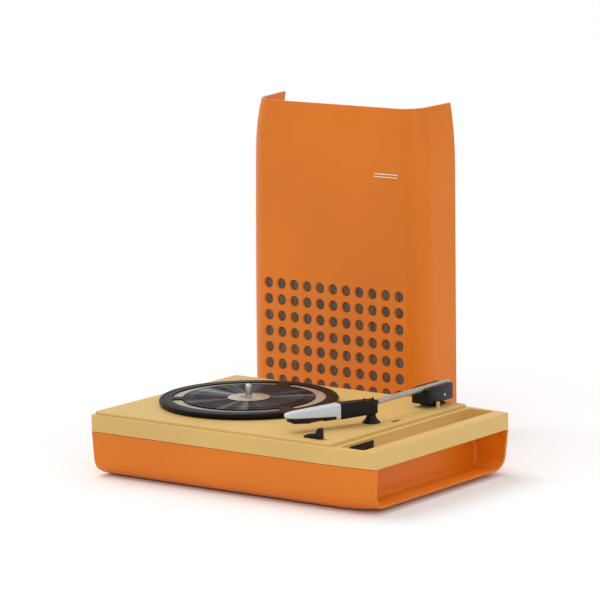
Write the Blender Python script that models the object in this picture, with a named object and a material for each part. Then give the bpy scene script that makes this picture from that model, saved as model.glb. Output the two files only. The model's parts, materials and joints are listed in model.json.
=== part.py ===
"""Portable record player with a lift-off loudspeaker lid.

The player lies flat: an orange tray holds the drive and the amplifier, and a cream deck moulding
with a carrying bar closes it. The lid, which holds the loudspeaker, stands on end behind it.
Lengths are in millimetres and turn into metres where a mesh is made. The player's own centre on
the floor is the working origin, and the root empty moves the whole to the centre of its box.
"""
import math

import bmesh
import bpy
from mathutils import Matrix, Vector

MM = 0.001
GAP = 0.3                      # running and resting clearance between pieces

# ---- the player's outer form
LENGTH = 357.0
WIDTH = 246.0
HALF_LENGTH = LENGTH / 2
HALF_WIDTH = WIDTH / 2
CASE_BOTTOM = 1.6
CASE_TOP = 46.2
RIM_BOTTOM = CASE_TOP + GAP
RIM_TOP = 64.2
DECK_TOP = 67.3
DECK_INSET = 3.0
DECK_RIGHT = 126.5
PLATE = 2.5                    # deck wall thickness
WALL = 3.0
CORNER = 3.0                   # of the plan, at the far end

# ---- handle end
BULKHEAD_LEFT = 130.0
TROUGH_LEFT = 133.0
TROUGH_RIGHT = 162.5
TROUGH_HALF = 115.0
BULKHEAD_SLOPE = 6.0           # the bulkhead stands this much further out at its foot

# ---- tray forms: case and lid are the same kind of tray, described from floor to rim
NARROWING_RUN = 70.0           # the sides close in over this length at the handle end
RISE_RUN = 45.0                # the floor lifts over this length at the handle end
CARRY_ON = 1.2                 # past the end the curves go on up to this share of their run
CASE_FORM = {"side_radius": 16.0, "end_radius": 9.0, "side_lean": 0.0, "end_lean": 3.0,
             "lean_growth": 2.5, "narrowing": 5.0, "rise": 4.2, "slant": 3.4}
DRIVE_FORM = {**CASE_FORM, "slant": -BULKHEAD_SLOPE}
BAY_FORM = {**CASE_FORM, "end_radius": 5.0, "end_lean": BULKHEAD_SLOPE, "slant": 0.0}
LID_FORM = {"side_radius": 24.0, "end_radius": 10.0, "side_lean": 0.0, "end_lean": 0.0,
            "lean_growth": 6.0, "narrowing": 6.5, "rise": 4.8, "slant": 2.9}
OVER = 8.0                     # a cutter reaches this far past the face it opens

# ---- fixings
SCREW_X = {"left": -158.0, "right": 112.0}
SCREW_Y = {"front": -100.0, "back": 100.0}
SCREW_HOLE, SCREW_BORE, BOSS_RADIUS = 2.2, 1.9, 5.0
SCREW_HEAD, SCREW_SHANK, SCREW_HEAD_HEIGHT, SCREW_LENGTH = 3.6, 1.5, 1.3, 16.0
FOOT_X = {"left": -140.0, "right": 96.0}
FOOT_Y = {"front": -88.0, "back": 88.0}
FOOT_RADIUS = 8.0

# ---- drive
PLATTER_X, PLATTER_Y = -68.2, 2.8
PLATTER_RADIUS = 93.8
MAT_TOP = 73.9
MAT_LIP_BOTTOM = 68.2
PLATTER_TOP = 72.2
PLATTER_UNDER = 69.6
WINDOW_INNER, WINDOW_OUTER = 69.3, 81.0
WINDOW_BRIDGES = (-22.0, 98.0, 218.0)
BRIDGE_HALF_ANGLE = 5.5
MAT_EYE = 22.6
DRIVE_RIM_INNER, DRIVE_RIM_OUTER = 70.0, 72.5
WELL_RADIUS = 76.0
MOTOR_PLATE_TOP = 58.0
MOTOR_PLATE_BOTTOM = 56.5
SPINDLE_RADIUS = 3.6
SPINDLE_TOP = 88.0
IDLER_RADIUS = 15.7
IDLER_ANGLE = math.radians(-60)
PULLEY_RADIUS = 1.6
PULLEY_ANGLE = math.radians(160)
IDLER_X = PLATTER_X + (DRIVE_RIM_INNER - GAP - IDLER_RADIUS) * math.cos(IDLER_ANGLE)
IDLER_Y = PLATTER_Y + (DRIVE_RIM_INNER - GAP - IDLER_RADIUS) * math.sin(IDLER_ANGLE)
PULLEY_X = IDLER_X + (IDLER_RADIUS + GAP + PULLEY_RADIUS) * math.cos(PULLEY_ANGLE)
PULLEY_Y = IDLER_Y + (IDLER_RADIUS + GAP + PULLEY_RADIUS) * math.sin(PULLEY_ANGLE)

# ---- tone arm
PIVOT_X, PIVOT_Y = 98.5, 98.0
PIN_Y, PIN_Z = 104.0, 78.0
TUBE_X, TUBE_Z = 99.7, 87.4
TUBE_RADIUS = 2.9
TUBE_BACK, TUBE_FRONT = 125.5, -4.0
ELBOW_Y = -7.0
HOUSING_LEFT, HOUSING_RIGHT = 87.4, 109.2
HOUSING_FRONT, HOUSING_BACK = 75.2, 120.2
HOUSING_BOTTOM, HOUSING_TOP = 71.5, 88.4
HEAD_ANGLE = math.radians(245.5)
SLEEVE_LENGTH = 43.0
HEAD_LENGTH = 60.3

# ---- small pieces on the deck
TURRET_RADIUS = 5.0
PEDESTAL_HALF, PEDESTAL_TOP = 9.6, 70.4
POST_X, POST_Y = 111.7, 88.0
POST_RADIUS, POST_TOP = 2.0, 73.5
REST_X, REST_Y, REST_TOP = 98.5, -12.5, 76.3
SLOT_X, SLOT_Y = 114.7, 8.0
SLOT_HALF_X, SLOT_HALF_Y = 2.5, 7.5
CATCH_BOTTOM, CATCH_TOP = 57.0, 66.7
LEVER_X, LEVER_Y = 95.5, -106.5
LEVER_TRAVEL = 9.0
KNOB_HALF = 3.2
CONTROL_FRONT, CONTROL_BACK = -98.0, -59.0
CONTROL_TOP, CONTROL_BOTTOM = 61.5, 47.5
CONTROL_FACE = TROUGH_LEFT + 1.8
WHEEL_RADIUS = 8.5
WHEEL_X = CONTROL_FACE + 1.0 - WHEEL_RADIUS
WHEEL_LOW, WHEEL_HIGH = 52.6, 56.6
WHEEL_Y = {"volume_wheel": -87.5, "tone_wheel": -69.5}

# ---- lid
LID_LENGTH = 353.4
LID_DEPTH = 63.7
LID_FOOT = 1.5
LID_FOOT_Y = {"left": -88.0, "right": 88.0}
LID_YAW = math.radians(-2.25)
LID_X, LID_Y = -134.8, 311.8   # middle of the lid's open side, on the floor
HOLE_COLUMNS, HOLE_ROWS = 11, 7
HOLE_PITCH = 18.3
HOLE_RADIUS = 5.6
HOLE_TOP_ROW = 146.7           # height of the top row above the floor
SPEAKER_HEIGHT = HOLE_TOP_ROW - 3 * HOLE_PITCH
BAFFLE_MARGIN, BAFFLE_HALF = 14.0, 103.5
BAFFLE_NEAR, BAFFLE_FAR = 4.4, 10.4
CLOTH_MARGIN, CLOTH_HALF = 10.0, 99.0
CONE_OPENING, BASKET_RADIUS, MAGNET_RADIUS = 52.0, 62.0, 25.0
SPEAKER_SCREWS, SPEAKER_SCREW_CIRCLE = 4, 57.0

# ---- openings in the case's back wall
WINDOW_LEFT, WINDOW_RIGHT, WINDOW_LOW, WINDOW_HIGH = -130.0, -84.0, 20.0, 34.0

# ---- the whole: middle of the box on the floor
BOX_X, BOX_Y = -40.3, 96.8

MATERIALS = {
    "orange_plastic": ((0.745, 0.212, 0.024), 0.38, 0.0),
    "cream_plastic": ((0.768, 0.503, 0.172), 0.42, 0.0),
    "black_plastic": ((0.012, 0.012, 0.013), 0.4, 0.0),
    "black_rubber": ((0.018, 0.017, 0.016), 0.6, 0.0),
    "red_plastic": ((0.4, 0.02, 0.02), 0.35, 0.0),
    "silver_paint": ((0.6, 0.64, 0.68), 0.3, 0.3),
    "chrome": ((0.7, 0.7, 0.7), 0.15, 1.0),
    "steel": ((0.45, 0.45, 0.46), 0.4, 1.0),
    "brass": ((0.65, 0.48, 0.2), 0.3, 1.0),
    "aluminium": ((0.62, 0.58, 0.52), 0.35, 1.0),
    "brown_cloth": ((0.09, 0.07, 0.05), 0.9, 0.0),
    "hardboard": ((0.16, 0.09, 0.05), 0.8, 0.0),
    "paper": ((0.04, 0.035, 0.03), 0.9, 0.0),
    "white_paint": ((0.75, 0.72, 0.66), 0.4, 0.0),
}


def clear_scene():
    for thing in list(bpy.data.objects):
        bpy.data.objects.remove(thing, do_unlink=True)


def finish_material(name):
    colour, roughness, metallic = MATERIALS[name]
    material = bpy.data.materials.new(name)
    material.use_nodes = True
    shader = material.node_tree.nodes["Principled BSDF"]
    shader.inputs["Base Color"].default_value = (*colour, 1.0)
    shader.inputs["Roughness"].default_value = roughness
    shader.inputs["Metallic"].default_value = metallic
    return material


def add(name, bm, finish, parent, smooth=False):
    """Turn a bmesh in millimetres into a named object in metres with its own material."""
    bmesh.ops.scale(bm, vec=(MM, MM, MM), verts=bm.verts)
    bmesh.ops.recalc_face_normals(bm, faces=bm.faces)
    mesh = bpy.data.meshes.new(name)
    bm.to_mesh(mesh)
    bm.free()
    if smooth:
        mesh.shade_smooth()
        mesh.set_sharp_from_angle(angle=math.radians(40))
    thing = bpy.data.objects.new(name, mesh)
    if finish:
        material = finish_material(finish)
        material.name = f"{name}_{finish}"
        mesh.materials.append(material)
    bpy.context.scene.collection.objects.link(thing)
    thing.parent = parent
    return thing


def guide(name, parent, location=(0, 0, 0), turn=None):
    """An empty that carries pieces; its place is in millimetres."""
    empty = bpy.data.objects.new(name, None)
    bpy.context.scene.collection.objects.link(empty)
    empty.parent = parent
    empty.matrix_local = Matrix.Translation(Vector(location) * MM) @ (turn or Matrix.Identity(4))
    return empty


def combine(target, tool_bm, how, label):
    """Cut or join a bmesh with a target object through an exact Boolean modifier."""
    tool = add(f"{target.name}_{label}", tool_bm, None, target.parent)
    tool.hide_render = True
    tool.display_type = "WIRE"
    step = target.modifiers.new(label, "BOOLEAN")
    step.operation = how
    step.solver = "EXACT"
    step.object = tool


def cut(target, tool_bm, label):
    combine(target, tool_bm, "DIFFERENCE", label)


def join(target, tool_bm, label):
    combine(target, tool_bm, "UNION", label)


def block(*limits):
    """A box from x0, x1, y0, y1, z0, z1."""
    x0, x1, y0, y1, z0, z1 = limits
    bm = bmesh.new()
    bmesh.ops.create_cube(bm, size=1.0)
    for vert in bm.verts:
        vert.co.x = x1 if vert.co.x > 0 else x0
        vert.co.y = y1 if vert.co.y > 0 else y0
        vert.co.z = z1 if vert.co.z > 0 else z0
    return bm


def rounded(bm, width, segments=2):
    bmesh.ops.bevel(bm, geom=bm.edges[:], offset=width, segments=segments, affect="EDGES",
                    profile=0.5)
    return bm


def turned(profile, segments=24, centre=(0, 0)):
    """Spin a closed (radius, height) profile about an upright axis; radius 0 closes to a point."""
    bm = bmesh.new()
    rings = []
    for radius, height in profile:
        if radius == 0:
            rings.append([bm.verts.new((centre[0], centre[1], height))])
            continue
        ring = []
        for i in range(segments):
            angle = 2 * math.pi * i / segments
            ring.append(bm.verts.new((centre[0] + radius * math.cos(angle),
                                      centre[1] + radius * math.sin(angle), height)))
        rings.append(ring)
    closed = profile[0][0] != 0
    pairs = list(zip(rings, rings[1:]))
    if closed:
        pairs.append((rings[-1], rings[0]))
    for low, high in pairs:
        for i in range(segments):
            j = (i + 1) % segments
            corners = [low[i % len(low)], low[j % len(low)], high[j % len(high)], high[i % len(high)]]
            face = [v for n, v in enumerate(corners) if v not in corners[:n]]
            if len(face) > 2:
                bm.faces.new(face)
    return bm


def disc(radius, low, high, centre=(0, 0), segments=24):
    return turned([(0, low), (radius, low), (radius, high), (0, high)], segments, centre)


def ring(inner, outer, low, high, centre=(0, 0), segments=24):
    return turned([(inner, low), (outer, low), (outer, high), (inner, high)], segments, centre)


def loft(rings):
    """Skin equal rings. Each ring is symmetric front to back, which gives the caps clean quads."""
    bm = bmesh.new()
    rows = [[bm.verts.new(point) for point in points] for points in rings]
    count = len(rows[0])
    for low, high in zip(rows, rows[1:]):
        for i in range(count):
            j = (i + 1) % count
            bm.faces.new((low[i], low[j], high[j], high[i]))
    for row in (rows[0], rows[-1]):
        for i in range(count // 2 - 1):
            bm.faces.new((row[i], row[i + 1], row[count - 2 - i], row[count - 1 - i]))
    return bm


def narrowing(form, x):
    run = max(0.0, x - (HALF_LENGTH - NARROWING_RUN)) / NARROWING_RUN
    return form["narrowing"] * min(run, CARRY_ON) ** 2


def lean_growth(form, x):
    """The sides lean in more and more towards the handle end."""
    run = max(0.0, x + HALF_LENGTH) / LENGTH
    return form["lean_growth"] * min(run, CARRY_ON) ** 2


def rise(form, x):
    run = max(0.0, x - (HALF_LENGTH - RISE_RUN)) / RISE_RUN
    return form["rise"] * min(run, CARRY_ON) ** 2


def wall_inset(height, lean, radius, top):
    """Inset of a leaning wall with a round foot, at a height above the tray's floor."""
    if height >= radius:
        return lean * (top - height) / (top - radius)
    return lean + radius - math.sqrt(max(0.0, radius ** 2 - (radius - height) ** 2))


def tray_ring(form, x_left, x_right, side, end, fade, level):
    """Plan outline of a tray at one level, from the handle end round the far end and back.

    The fade is 1 at the floor and 0 at the rim, and level(x) gives the height of each point.
    """
    far = x_left + end + CORNER
    start = max(HALF_LENGTH - NARROWING_RUN, far + 1)
    right = x_right - fade * form["slant"]
    places = [right - (right - start) * i / 6 for i in range(7)]
    places += [start - (start - far) * i / 4 for i in range(1, 4)]
    half = [(x, HALF_WIDTH - side - narrowing(form, x) - fade * lean_growth(form, x))
            for x in places]
    edge = half[-1][1]
    for i in range(5):
        angle = math.radians(90 * i / 4)
        half.append((far - CORNER * math.sin(angle), edge - CORNER * (1 - math.cos(angle))))
    front = [(x, -y, level(x)) for x, y in half]
    back = [(x, y, level(x)) for x, y in reversed(half)]
    return front + back


def tray(form, x_left, x_right, bottom, top, thickness=0.0, over=0.0, end_wall=None):
    """A tray-shaped solid: leaning sides, round bottom edges, floor lifting at the handle end."""
    end_wall = thickness if end_wall is None else end_wall
    side_radius = form["side_radius"] - thickness
    end_radius = max(form["end_radius"] - end_wall, 0.0)
    floor = bottom + thickness
    span = top - floor
    heights = [side_radius * (1 - math.cos(math.radians(t))) for t in (0, 22, 45, 67, 90)]
    heights.append(span)
    rings = []
    for height in heights:
        side = thickness + wall_inset(height, form["side_lean"], side_radius, span)
        end = end_wall + wall_inset(height, form["end_lean"], end_radius, span)
        fade = 1 - height / span
        rings.append(tray_ring(form, x_left, x_right, side, end, fade,
                               lambda x, h=height, f=fade: floor + h + f * rise(form, x)))
    if over:
        rings.append([(x, y, z + over) for x, y, z in rings[-1]])
    return loft(rings)


def rim_band(low, high):
    """The deck's rim: it follows the tray's outline and its top edge is eased."""
    levels = ((low, 0.0), (high - 0.9, 0.0), (high - 0.3, 0.3), (high, 0.9))
    return loft([tray_ring(CASE_FORM, -HALF_LENGTH, HALF_LENGTH, inset, inset, 0.0, lambda x, h=z: h)
                 for z, inset in levels])


def make_case(root):
    case = add("case_shell", tray(CASE_FORM, -HALF_LENGTH, HALF_LENGTH, CASE_BOTTOM, CASE_TOP),
               "orange_plastic", root)
    cut(case, tray(DRIVE_FORM, -HALF_LENGTH, BULKHEAD_LEFT, CASE_BOTTOM, CASE_TOP, WALL, OVER),
        "drive_space")
    cut(case, tray(BAY_FORM, TROUGH_LEFT, HALF_LENGTH + OVER, CASE_BOTTOM, CASE_TOP, WALL, OVER, 0.0),
        "handle_bay")
    for name, x, y in screw_places():
        cut(case, disc(SCREW_HOLE, -5, 20, (x, y), 12), f"{name}_hole")
    cut(case, block(WINDOW_LEFT, WINDOW_RIGHT, HALF_WIDTH - 18, HALF_WIDTH + 17, WINDOW_LOW, WINDOW_HIGH),
        "socket_window")
    return case


def screw_places():
    return [(f"case_screw_{side}_{end}", x, y) for end, x in SCREW_X.items()
            for side, y in SCREW_Y.items()]


def make_deck(root):
    deck = add("deck_moulding", rim_band(RIM_BOTTOM, RIM_TOP), "cream_plastic", root)
    left, side = -HALF_LENGTH + DECK_INSET, HALF_WIDTH - DECK_INSET
    join(deck, block(left, DECK_RIGHT, -side, side, RIM_TOP - 1, DECK_TOP), "raised_deck")
    below = CASE_TOP - 6           # cutters from below start here
    above = DECK_TOP + 14          # and those from above reach up to here
    cut(deck, block(left, BULKHEAD_LEFT, -side + WALL, side - WALL, below, RIM_TOP - PLATE), "underside")
    cut(deck, block(left + WALL, DECK_RIGHT - PLATE, -side + WALL + 1, side - WALL - 1,
                    RIM_TOP - PLATE - 1, DECK_TOP - PLATE), "raised_underside")
    cut(deck, block(TROUGH_LEFT, TROUGH_RIGHT, -TROUGH_HALF, TROUGH_HALF, below, above), "trough")
    cut(deck, disc(WELL_RADIUS, below, above, (PLATTER_X, PLATTER_Y), 48), "platter_well")
    cut(deck, disc(TURRET_RADIUS + GAP, below, above, (PIVOT_X, PIVOT_Y), 16), "arm_hole")
    cut(deck, block(SLOT_X - SLOT_HALF_X, SLOT_X + SLOT_HALF_X, SLOT_Y - SLOT_HALF_Y, SLOT_Y + SLOT_HALF_Y,
                    below, above), "catch_slot")
    cut(deck, block(LEVER_X - 6, LEVER_X + 6 + LEVER_TRAVEL, LEVER_Y - 1.8, LEVER_Y + 1.8, below, above),
        "lever_slot")
    cut(deck, block(BULKHEAD_LEFT - 8, TROUGH_LEFT + 8, CONTROL_FRONT + 2, CONTROL_BACK - 2,
                    CONTROL_BOTTOM + 2, CONTROL_TOP - 2.2), "control_window")
    join(deck, disc(POST_RADIUS, DECK_TOP - 1, POST_TOP, (POST_X, POST_Y), 12), "arm_post")
    for name, x, y in screw_places():
        boss = disc(BOSS_RADIUS, CASE_BOTTOM + WALL + 1.2, DECK_TOP - 1, (x, y), 12)
        join(deck, boss, f"{name}_boss")
        cut(deck, disc(SCREW_BORE, 0, RIM_TOP - 6, (x, y), 12), f"{name}_bore")
    return deck


def make_fixings(root):
    seat = CASE_BOTTOM - GAP
    for name, x, y in screw_places():
        low = CASE_BOTTOM - SCREW_HEAD_HEIGHT
        profile = [(0, low), (SCREW_HEAD, low), (SCREW_HEAD, seat), (SCREW_SHANK, seat),
                   (SCREW_SHANK, CASE_BOTTOM + SCREW_LENGTH), (0, CASE_BOTTOM + SCREW_LENGTH)]
        add(name, turned(profile, 12, (x, y)), "steel", root, True)
    for end, x in FOOT_X.items():
        for side, y in FOOT_Y.items():
            foot = turned([(0, 0), (FOOT_RADIUS - 0.6, 0), (FOOT_RADIUS, 0.5), (FOOT_RADIUS, seat),
                           (0, seat)], 20, (x, y))
            add(f"foot_{side}_{end}", foot, "black_rubber", root, True)


def make_drive(root, platter, idler, rotor):
    plate = add("motor_plate", block(PLATTER_X - 84, PLATTER_X + 84, PLATTER_Y - 84, PLATTER_Y + 84,
                                     MOTOR_PLATE_BOTTOM, MOTOR_PLATE_TOP), "steel", root)
    cut(plate, disc(7.3, 50, 65, (PLATTER_X, PLATTER_Y), 24), "bearing_hole")
    cut(plate, disc(5.0, 50, 65, (PULLEY_X, PULLEY_Y), 16), "shaft_hole")
    sleeve = ring(SPINDLE_RADIUS + GAP, 7.0, 34, 61.5, (PLATTER_X, PLATTER_Y), 20)
    add("bearing_sleeve", sleeve, "brass", root, True)
    motor = ring(1.8, 22.0, 30, MOTOR_PLATE_BOTTOM - GAP, (PULLEY_X, PULLEY_Y), 28)
    add("motor_body", motor, "steel", root, True)
    pulley = [(0, 32), (1.5, 32), (1.5, 60), (3.75, 60), (3.75, 61), (PULLEY_RADIUS, 61.5),
              (PULLEY_RADIUS, 67.6), (1.1, 67.8), (1.1, 68.8), (0, 68.8)]
    add("motor_pulley", turned(pulley, 16), "brass", rotor, True)
    hub = ring(2.2, 13.0, 62.4, 66.0, (0, 0), 24)
    add("idler_wheel", hub, "steel", idler, True)
    tyre = turned([(13.3, 62.8), (15.2, 62.8), (IDLER_RADIUS, 63.4), (IDLER_RADIUS, 65.0),
                   (15.2, 65.6), (13.3, 65.6)], 32)
    add("idler_tyre", tyre, "black_rubber", idler, True)
    lever = block(IDLER_X - 5, IDLER_X + 5, IDLER_Y - 5, IDLER_Y + 30, MOTOR_PLATE_TOP + GAP, 60.4)
    carrier = add("idler_carrier", lever, "steel", root)
    join(carrier, disc(1.8, 60, 67.0, (IDLER_X, IDLER_Y), 14), "idler_axle")
    spring = ring(1.6, 2.6, 60.7, 66.0, (IDLER_X, IDLER_Y + 24), 14)
    add("idler_spring", spring, "steel", root, True)

    body = [(SPINDLE_RADIUS + GAP, PLATTER_TOP), (SPINDLE_RADIUS + GAP, 62.5), (12.0, 62.5),
            (12.0, PLATTER_UNDER), (DRIVE_RIM_INNER, PLATTER_UNDER), (DRIVE_RIM_INNER, 61.0),
            (DRIVE_RIM_OUTER, 61.0), (DRIVE_RIM_OUTER, PLATTER_UNDER), (90.0, PLATTER_UNDER),
            (91.0, PLATTER_UNDER + 0.6), (91.0, PLATTER_TOP), (MAT_EYE - GAP, PLATTER_TOP),
            (MAT_EYE - GAP, MAT_TOP - 0.2), (8.0, MAT_TOP - 0.2), (8.0, PLATTER_TOP)]
    add("platter", turned(body, 48), "aluminium", platter, True)
    mat_under = PLATTER_TOP + GAP
    lip = [(MAT_EYE, mat_under), (91.0 + GAP, mat_under), (91.0 + GAP, MAT_LIP_BOTTOM),
           (92.3, MAT_LIP_BOTTOM), (93.4, 69.2), (PLATTER_RADIUS, 70.6), (93.5, 72.2), (92.6, 73.4),
           (91.0, MAT_TOP), (MAT_EYE, MAT_TOP)]
    mat = add("platter_mat", turned(lip, 48), "black_rubber", platter, True)
    for number, bridge in enumerate(WINDOW_BRIDGES):
        start = bridge + BRIDGE_HALF_ANGLE
        sweep = 120 - 2 * BRIDGE_HALF_ANGLE
        cut(mat, arc_slab(WINDOW_INNER, WINDOW_OUTER, start, sweep, 71, 76), f"window_{number}")
    shaft = [(0, 36), (SPINDLE_RADIUS, 36), (SPINDLE_RADIUS, SPINDLE_TOP - 2.4), (2.6, SPINDLE_TOP - 0.6),
             (1.2, SPINDLE_TOP), (0, SPINDLE_TOP)]
    add("spindle", turned(shaft, 20), "chrome", platter, True)


def arc_slab(inner, outer, start, sweep, low, high, steps=14):
    bm = bmesh.new()
    section = []
    for i in range(steps + 1):
        angle = math.radians(start + sweep * i / steps)
        direction = Vector((math.cos(angle), math.sin(angle), 0))
        section.append([bm.verts.new(direction * radius + Vector((0, 0, z)))
                        for radius, z in ((inner, low), (outer, low), (outer, high), (inner, high))])
    for one, two in zip(section, section[1:]):
        for i in range(4):
            j = (i + 1) % 4
            bm.faces.new((one[i], one[j], two[j], two[i]))
    bm.faces.new(section[0])
    bm.faces.new(section[-1])
    return bm


def wedge(stations):
    """Skin upright rectangles along local X: (x, half width, low, high) at each station."""
    return loft([[(x, -half, low), (x, -half, high), (x, half, high), (x, half, low)]
                 for x, half, low, high in stations])


def make_tone_arm(root, turret, arm, head):
    seat, top = DECK_TOP + GAP, PEDESTAL_TOP
    pedestal = add("arm_pedestal", rounded(block(PIVOT_X - PEDESTAL_HALF, PIVOT_X + PEDESTAL_HALF,
                                                 PIVOT_Y - PEDESTAL_HALF, PIVOT_Y + PEDESTAL_HALF,
                                                 seat, top), 0.8, 1), "black_plastic", root)
    cut(pedestal, disc(TURRET_RADIUS + 0.7, seat - 5, top + 5, (PIVOT_X, PIVOT_Y)), "turret_hole")
    post = add("arm_turret", disc(TURRET_RADIUS, 56, 73.0, (0, 0), 20), "black_plastic", turret, True)
    pin_back = PIN_Y - PIVOT_Y
    join(post, block(-4.2, 4.2, -3.6, pin_back + 3.0, 72.0, 81.5), "pin_carrier")
    bore = disc(1.9, -9, 9, (0, 0), 12)
    bmesh.ops.rotate(bore, verts=bore.verts, matrix=Matrix.Rotation(math.pi / 2, 3, "Y"))
    bmesh.ops.translate(bore, verts=bore.verts, vec=(0, pin_back, PIN_Z))
    cut(post, bore, "pin_bore")

    left, right = HOUSING_LEFT - PIVOT_X, HOUSING_RIGHT - PIVOT_X
    front, back = HOUSING_FRONT - PIN_Y, HOUSING_BACK - PIN_Y
    low, high = HOUSING_BOTTOM - PIN_Z, HOUSING_TOP - PIN_Z
    shell = block(left, right, front, back, low, high)
    for vert in shell.verts:
        if vert.co.y < 0 and vert.co.z > 0:
            vert.co.z -= 0.8
            vert.co.y += 1.2
    bmesh.ops.bevel(shell, geom=shell.edges[:], offset=0.9, segments=1, affect="EDGES")
    housing = add("arm_housing", shell, "black_plastic", arm)
    cut(housing, block(-6.6, 6.6, -20.0, 12.0, low - 2, 5.2), "turret_space")
    groove = block(TUBE_X - PIVOT_X - TUBE_RADIUS - GAP, TUBE_X - PIVOT_X + TUBE_RADIUS + GAP,
                   front - 5, back + 5, TUBE_Z - PIN_Z - TUBE_RADIUS - GAP, high + 5)
    cut(housing, groove, "tube_groove")
    for end, x0, x1 in (("left", left - 1, -6.0), ("right", 6.0, right + 1)):
        hole = disc(1.9, x0, x1, (0, 0), 12)
        bmesh.ops.rotate(hole, verts=hole.verts, matrix=Matrix.Rotation(math.pi / 2, 3, "Y"))
        cut(housing, hole, f"{end}_pin_hole")
    pin = disc(1.6, left - 0.6, right + 0.6, (0, 0), 12)
    bmesh.ops.rotate(pin, verts=pin.verts, matrix=Matrix.Rotation(math.pi / 2, 3, "Y"))
    add("arm_pin", pin, "chrome", arm, True)

    tube = disc(TUBE_RADIUS, TUBE_FRONT - PIN_Y, TUBE_BACK - PIN_Y, (0, 0), 16)
    bmesh.ops.rotate(tube, verts=tube.verts, matrix=Matrix.Rotation(-math.pi / 2, 3, "X"))
    bmesh.ops.translate(tube, verts=tube.verts, vec=(TUBE_X - PIVOT_X, 0, TUBE_Z - PIN_Z))
    add("arm_tube", tube, "silver_paint", arm, True)

    sleeve = wedge([(0, 5.8, 77.2, 90.4), (1.2, 6.4, 76.7, 91.0),
                    (SLEEVE_LENGTH, 6.6, 75.0, 91.4)])
    cover = add("arm_sleeve", sleeve, "black_plastic", head)
    for number, x in enumerate((5.5, 15.5)):
        join(cover, disc(1.0, 88, 94.0, (x, 5.0), 8), f"peg_{number}")
    start = SLEEVE_LENGTH + GAP
    end = start + HEAD_LENGTH
    shell = wedge([(start, 6.6, 75.0, 91.3), (start + 4.5, 6.6, 75.3, 90.8),
                   (end - 8, 5.0, 80.5, 88.4), (end, 3.6, 82.0, 87.0)])
    top = add("headshell", shell, "silver_paint", head)
    cut(top, wedge([(start + 4.6, 8.0, 70.0, 79.0), (end + 2, 8.0, 70.0, 81.6)]), "cartridge_space")
    body = wedge([(start + 5.0, 5.4, 75.4, 78.7), (start + 14, 5.4, 75.4, 79.1),
                  (end - 24, 5.2, 74.9, 80.2), (end - 8, 4.6, 76.0, 80.9), (end - 3, 3.4, 78.0, 81.1)])
    cartridge = add("cartridge", body, "black_plastic", head)
    cut(cartridge, block(end - 42, end - 26, -2.8, 2.8, 70, 78.0), "stylus_space")
    add("stylus_holder", wedge([(end - 41.6, 2.0, 75.4, 77.7), (end - 30, 2.4, 74.6, 77.7),
                                (end - 26.4, 1.2, 74.4, 77.0)]), "red_plastic", head)


def make_deck_pieces(root, lever, wheels):
    seat = DECK_TOP + GAP
    rest = turned([(0, seat), (9.4, seat), (9.0, seat + 1), (6.6, 71.4), (5.2, 74.4), (4.8, REST_TOP),
                   (0, REST_TOP)], 24, (REST_X, REST_Y))
    add("arm_rest", rest, "black_plastic", root, True)
    profile = [(-11.0, seat), (10.5, seat), (10.0, 77.5), (5.6, 78.6), (3.4, 72.0), (-3.0, 70.9),
               (-9.0, 69.6)]
    bm = bmesh.new()
    bm.faces.new([bm.verts.new((x, -KNOB_HALF, z)) for x, z in profile])
    extruded = bmesh.ops.extrude_face_region(bm, geom=bm.faces[:])
    moved = [item for item in extruded["geom"] if isinstance(item, bmesh.types.BMVert)]
    bmesh.ops.translate(bm, verts=moved, vec=(0, 2 * KNOB_HALF, 0))
    knob = add("speed_lever", bm, "black_plastic", lever)
    join(knob, block(-3.0, 3.0, -1.4, 1.4, RIM_TOP - 5, seat + 1.2), "stem")

    housing = add("control_housing",
                  rounded(block(TROUGH_LEFT + GAP, CONTROL_FACE, CONTROL_FRONT, CONTROL_BACK,
                                CONTROL_BOTTOM, CONTROL_TOP), 0.5, 1), "black_plastic", root)
    for name, y in WHEEL_Y.items():
        wheel = disc(WHEEL_RADIUS, WHEEL_LOW, WHEEL_HIGH, (0, 0), 24)
        add(name, wheel, "black_plastic", wheels[name], True)
        cut(housing, disc(WHEEL_RADIUS + GAP, WHEEL_LOW - 0.4, WHEEL_HIGH + 0.4, (WHEEL_X, y), 24),
            f"{name}_slot")
    reach = SLOT_HALF_X - 0.4
    add("lid_catch", block(SLOT_X - reach, SLOT_X + reach, SLOT_Y - 3.5, SLOT_Y + 3.5, CATCH_BOTTOM, CATCH_TOP),
        "black_plastic", root)


def make_electrics(root):
    add("amplifier_board", block(28, 122, -60, 20, 20, 21.6), "hardboard", root)
    add("mains_transformer", rounded(block(60, 108, 40, 84, 10, 44), 1.5, 1), "steel", root)
    add("volume_control", block(104, 119.5, -92, -56, 24, 44), "steel", root)
    face = HALF_WIDTH - WALL - 0.5
    panel = add("socket_panel", block(WINDOW_LEFT + 0.4, WINDOW_RIGHT - 0.4, face - WALL, face,
                                      WINDOW_LOW + 0.4, WINDOW_HIGH - 0.4), "black_plastic", root)
    cut(panel, block(-126, -108, face - 1.6, face + 6, 23, 31), "mains_recess")
    bore = ring(2.5, 5.5, 110, 130, (0, 0), 16)
    bmesh.ops.rotate(bore, verts=bore.verts, matrix=Matrix.Rotation(-math.pi / 2, 3, "X"))
    bmesh.ops.translate(bore, verts=bore.verts, vec=(-95, face - 111.6, 27))
    cut(panel, bore, "speaker_recess")


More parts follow.
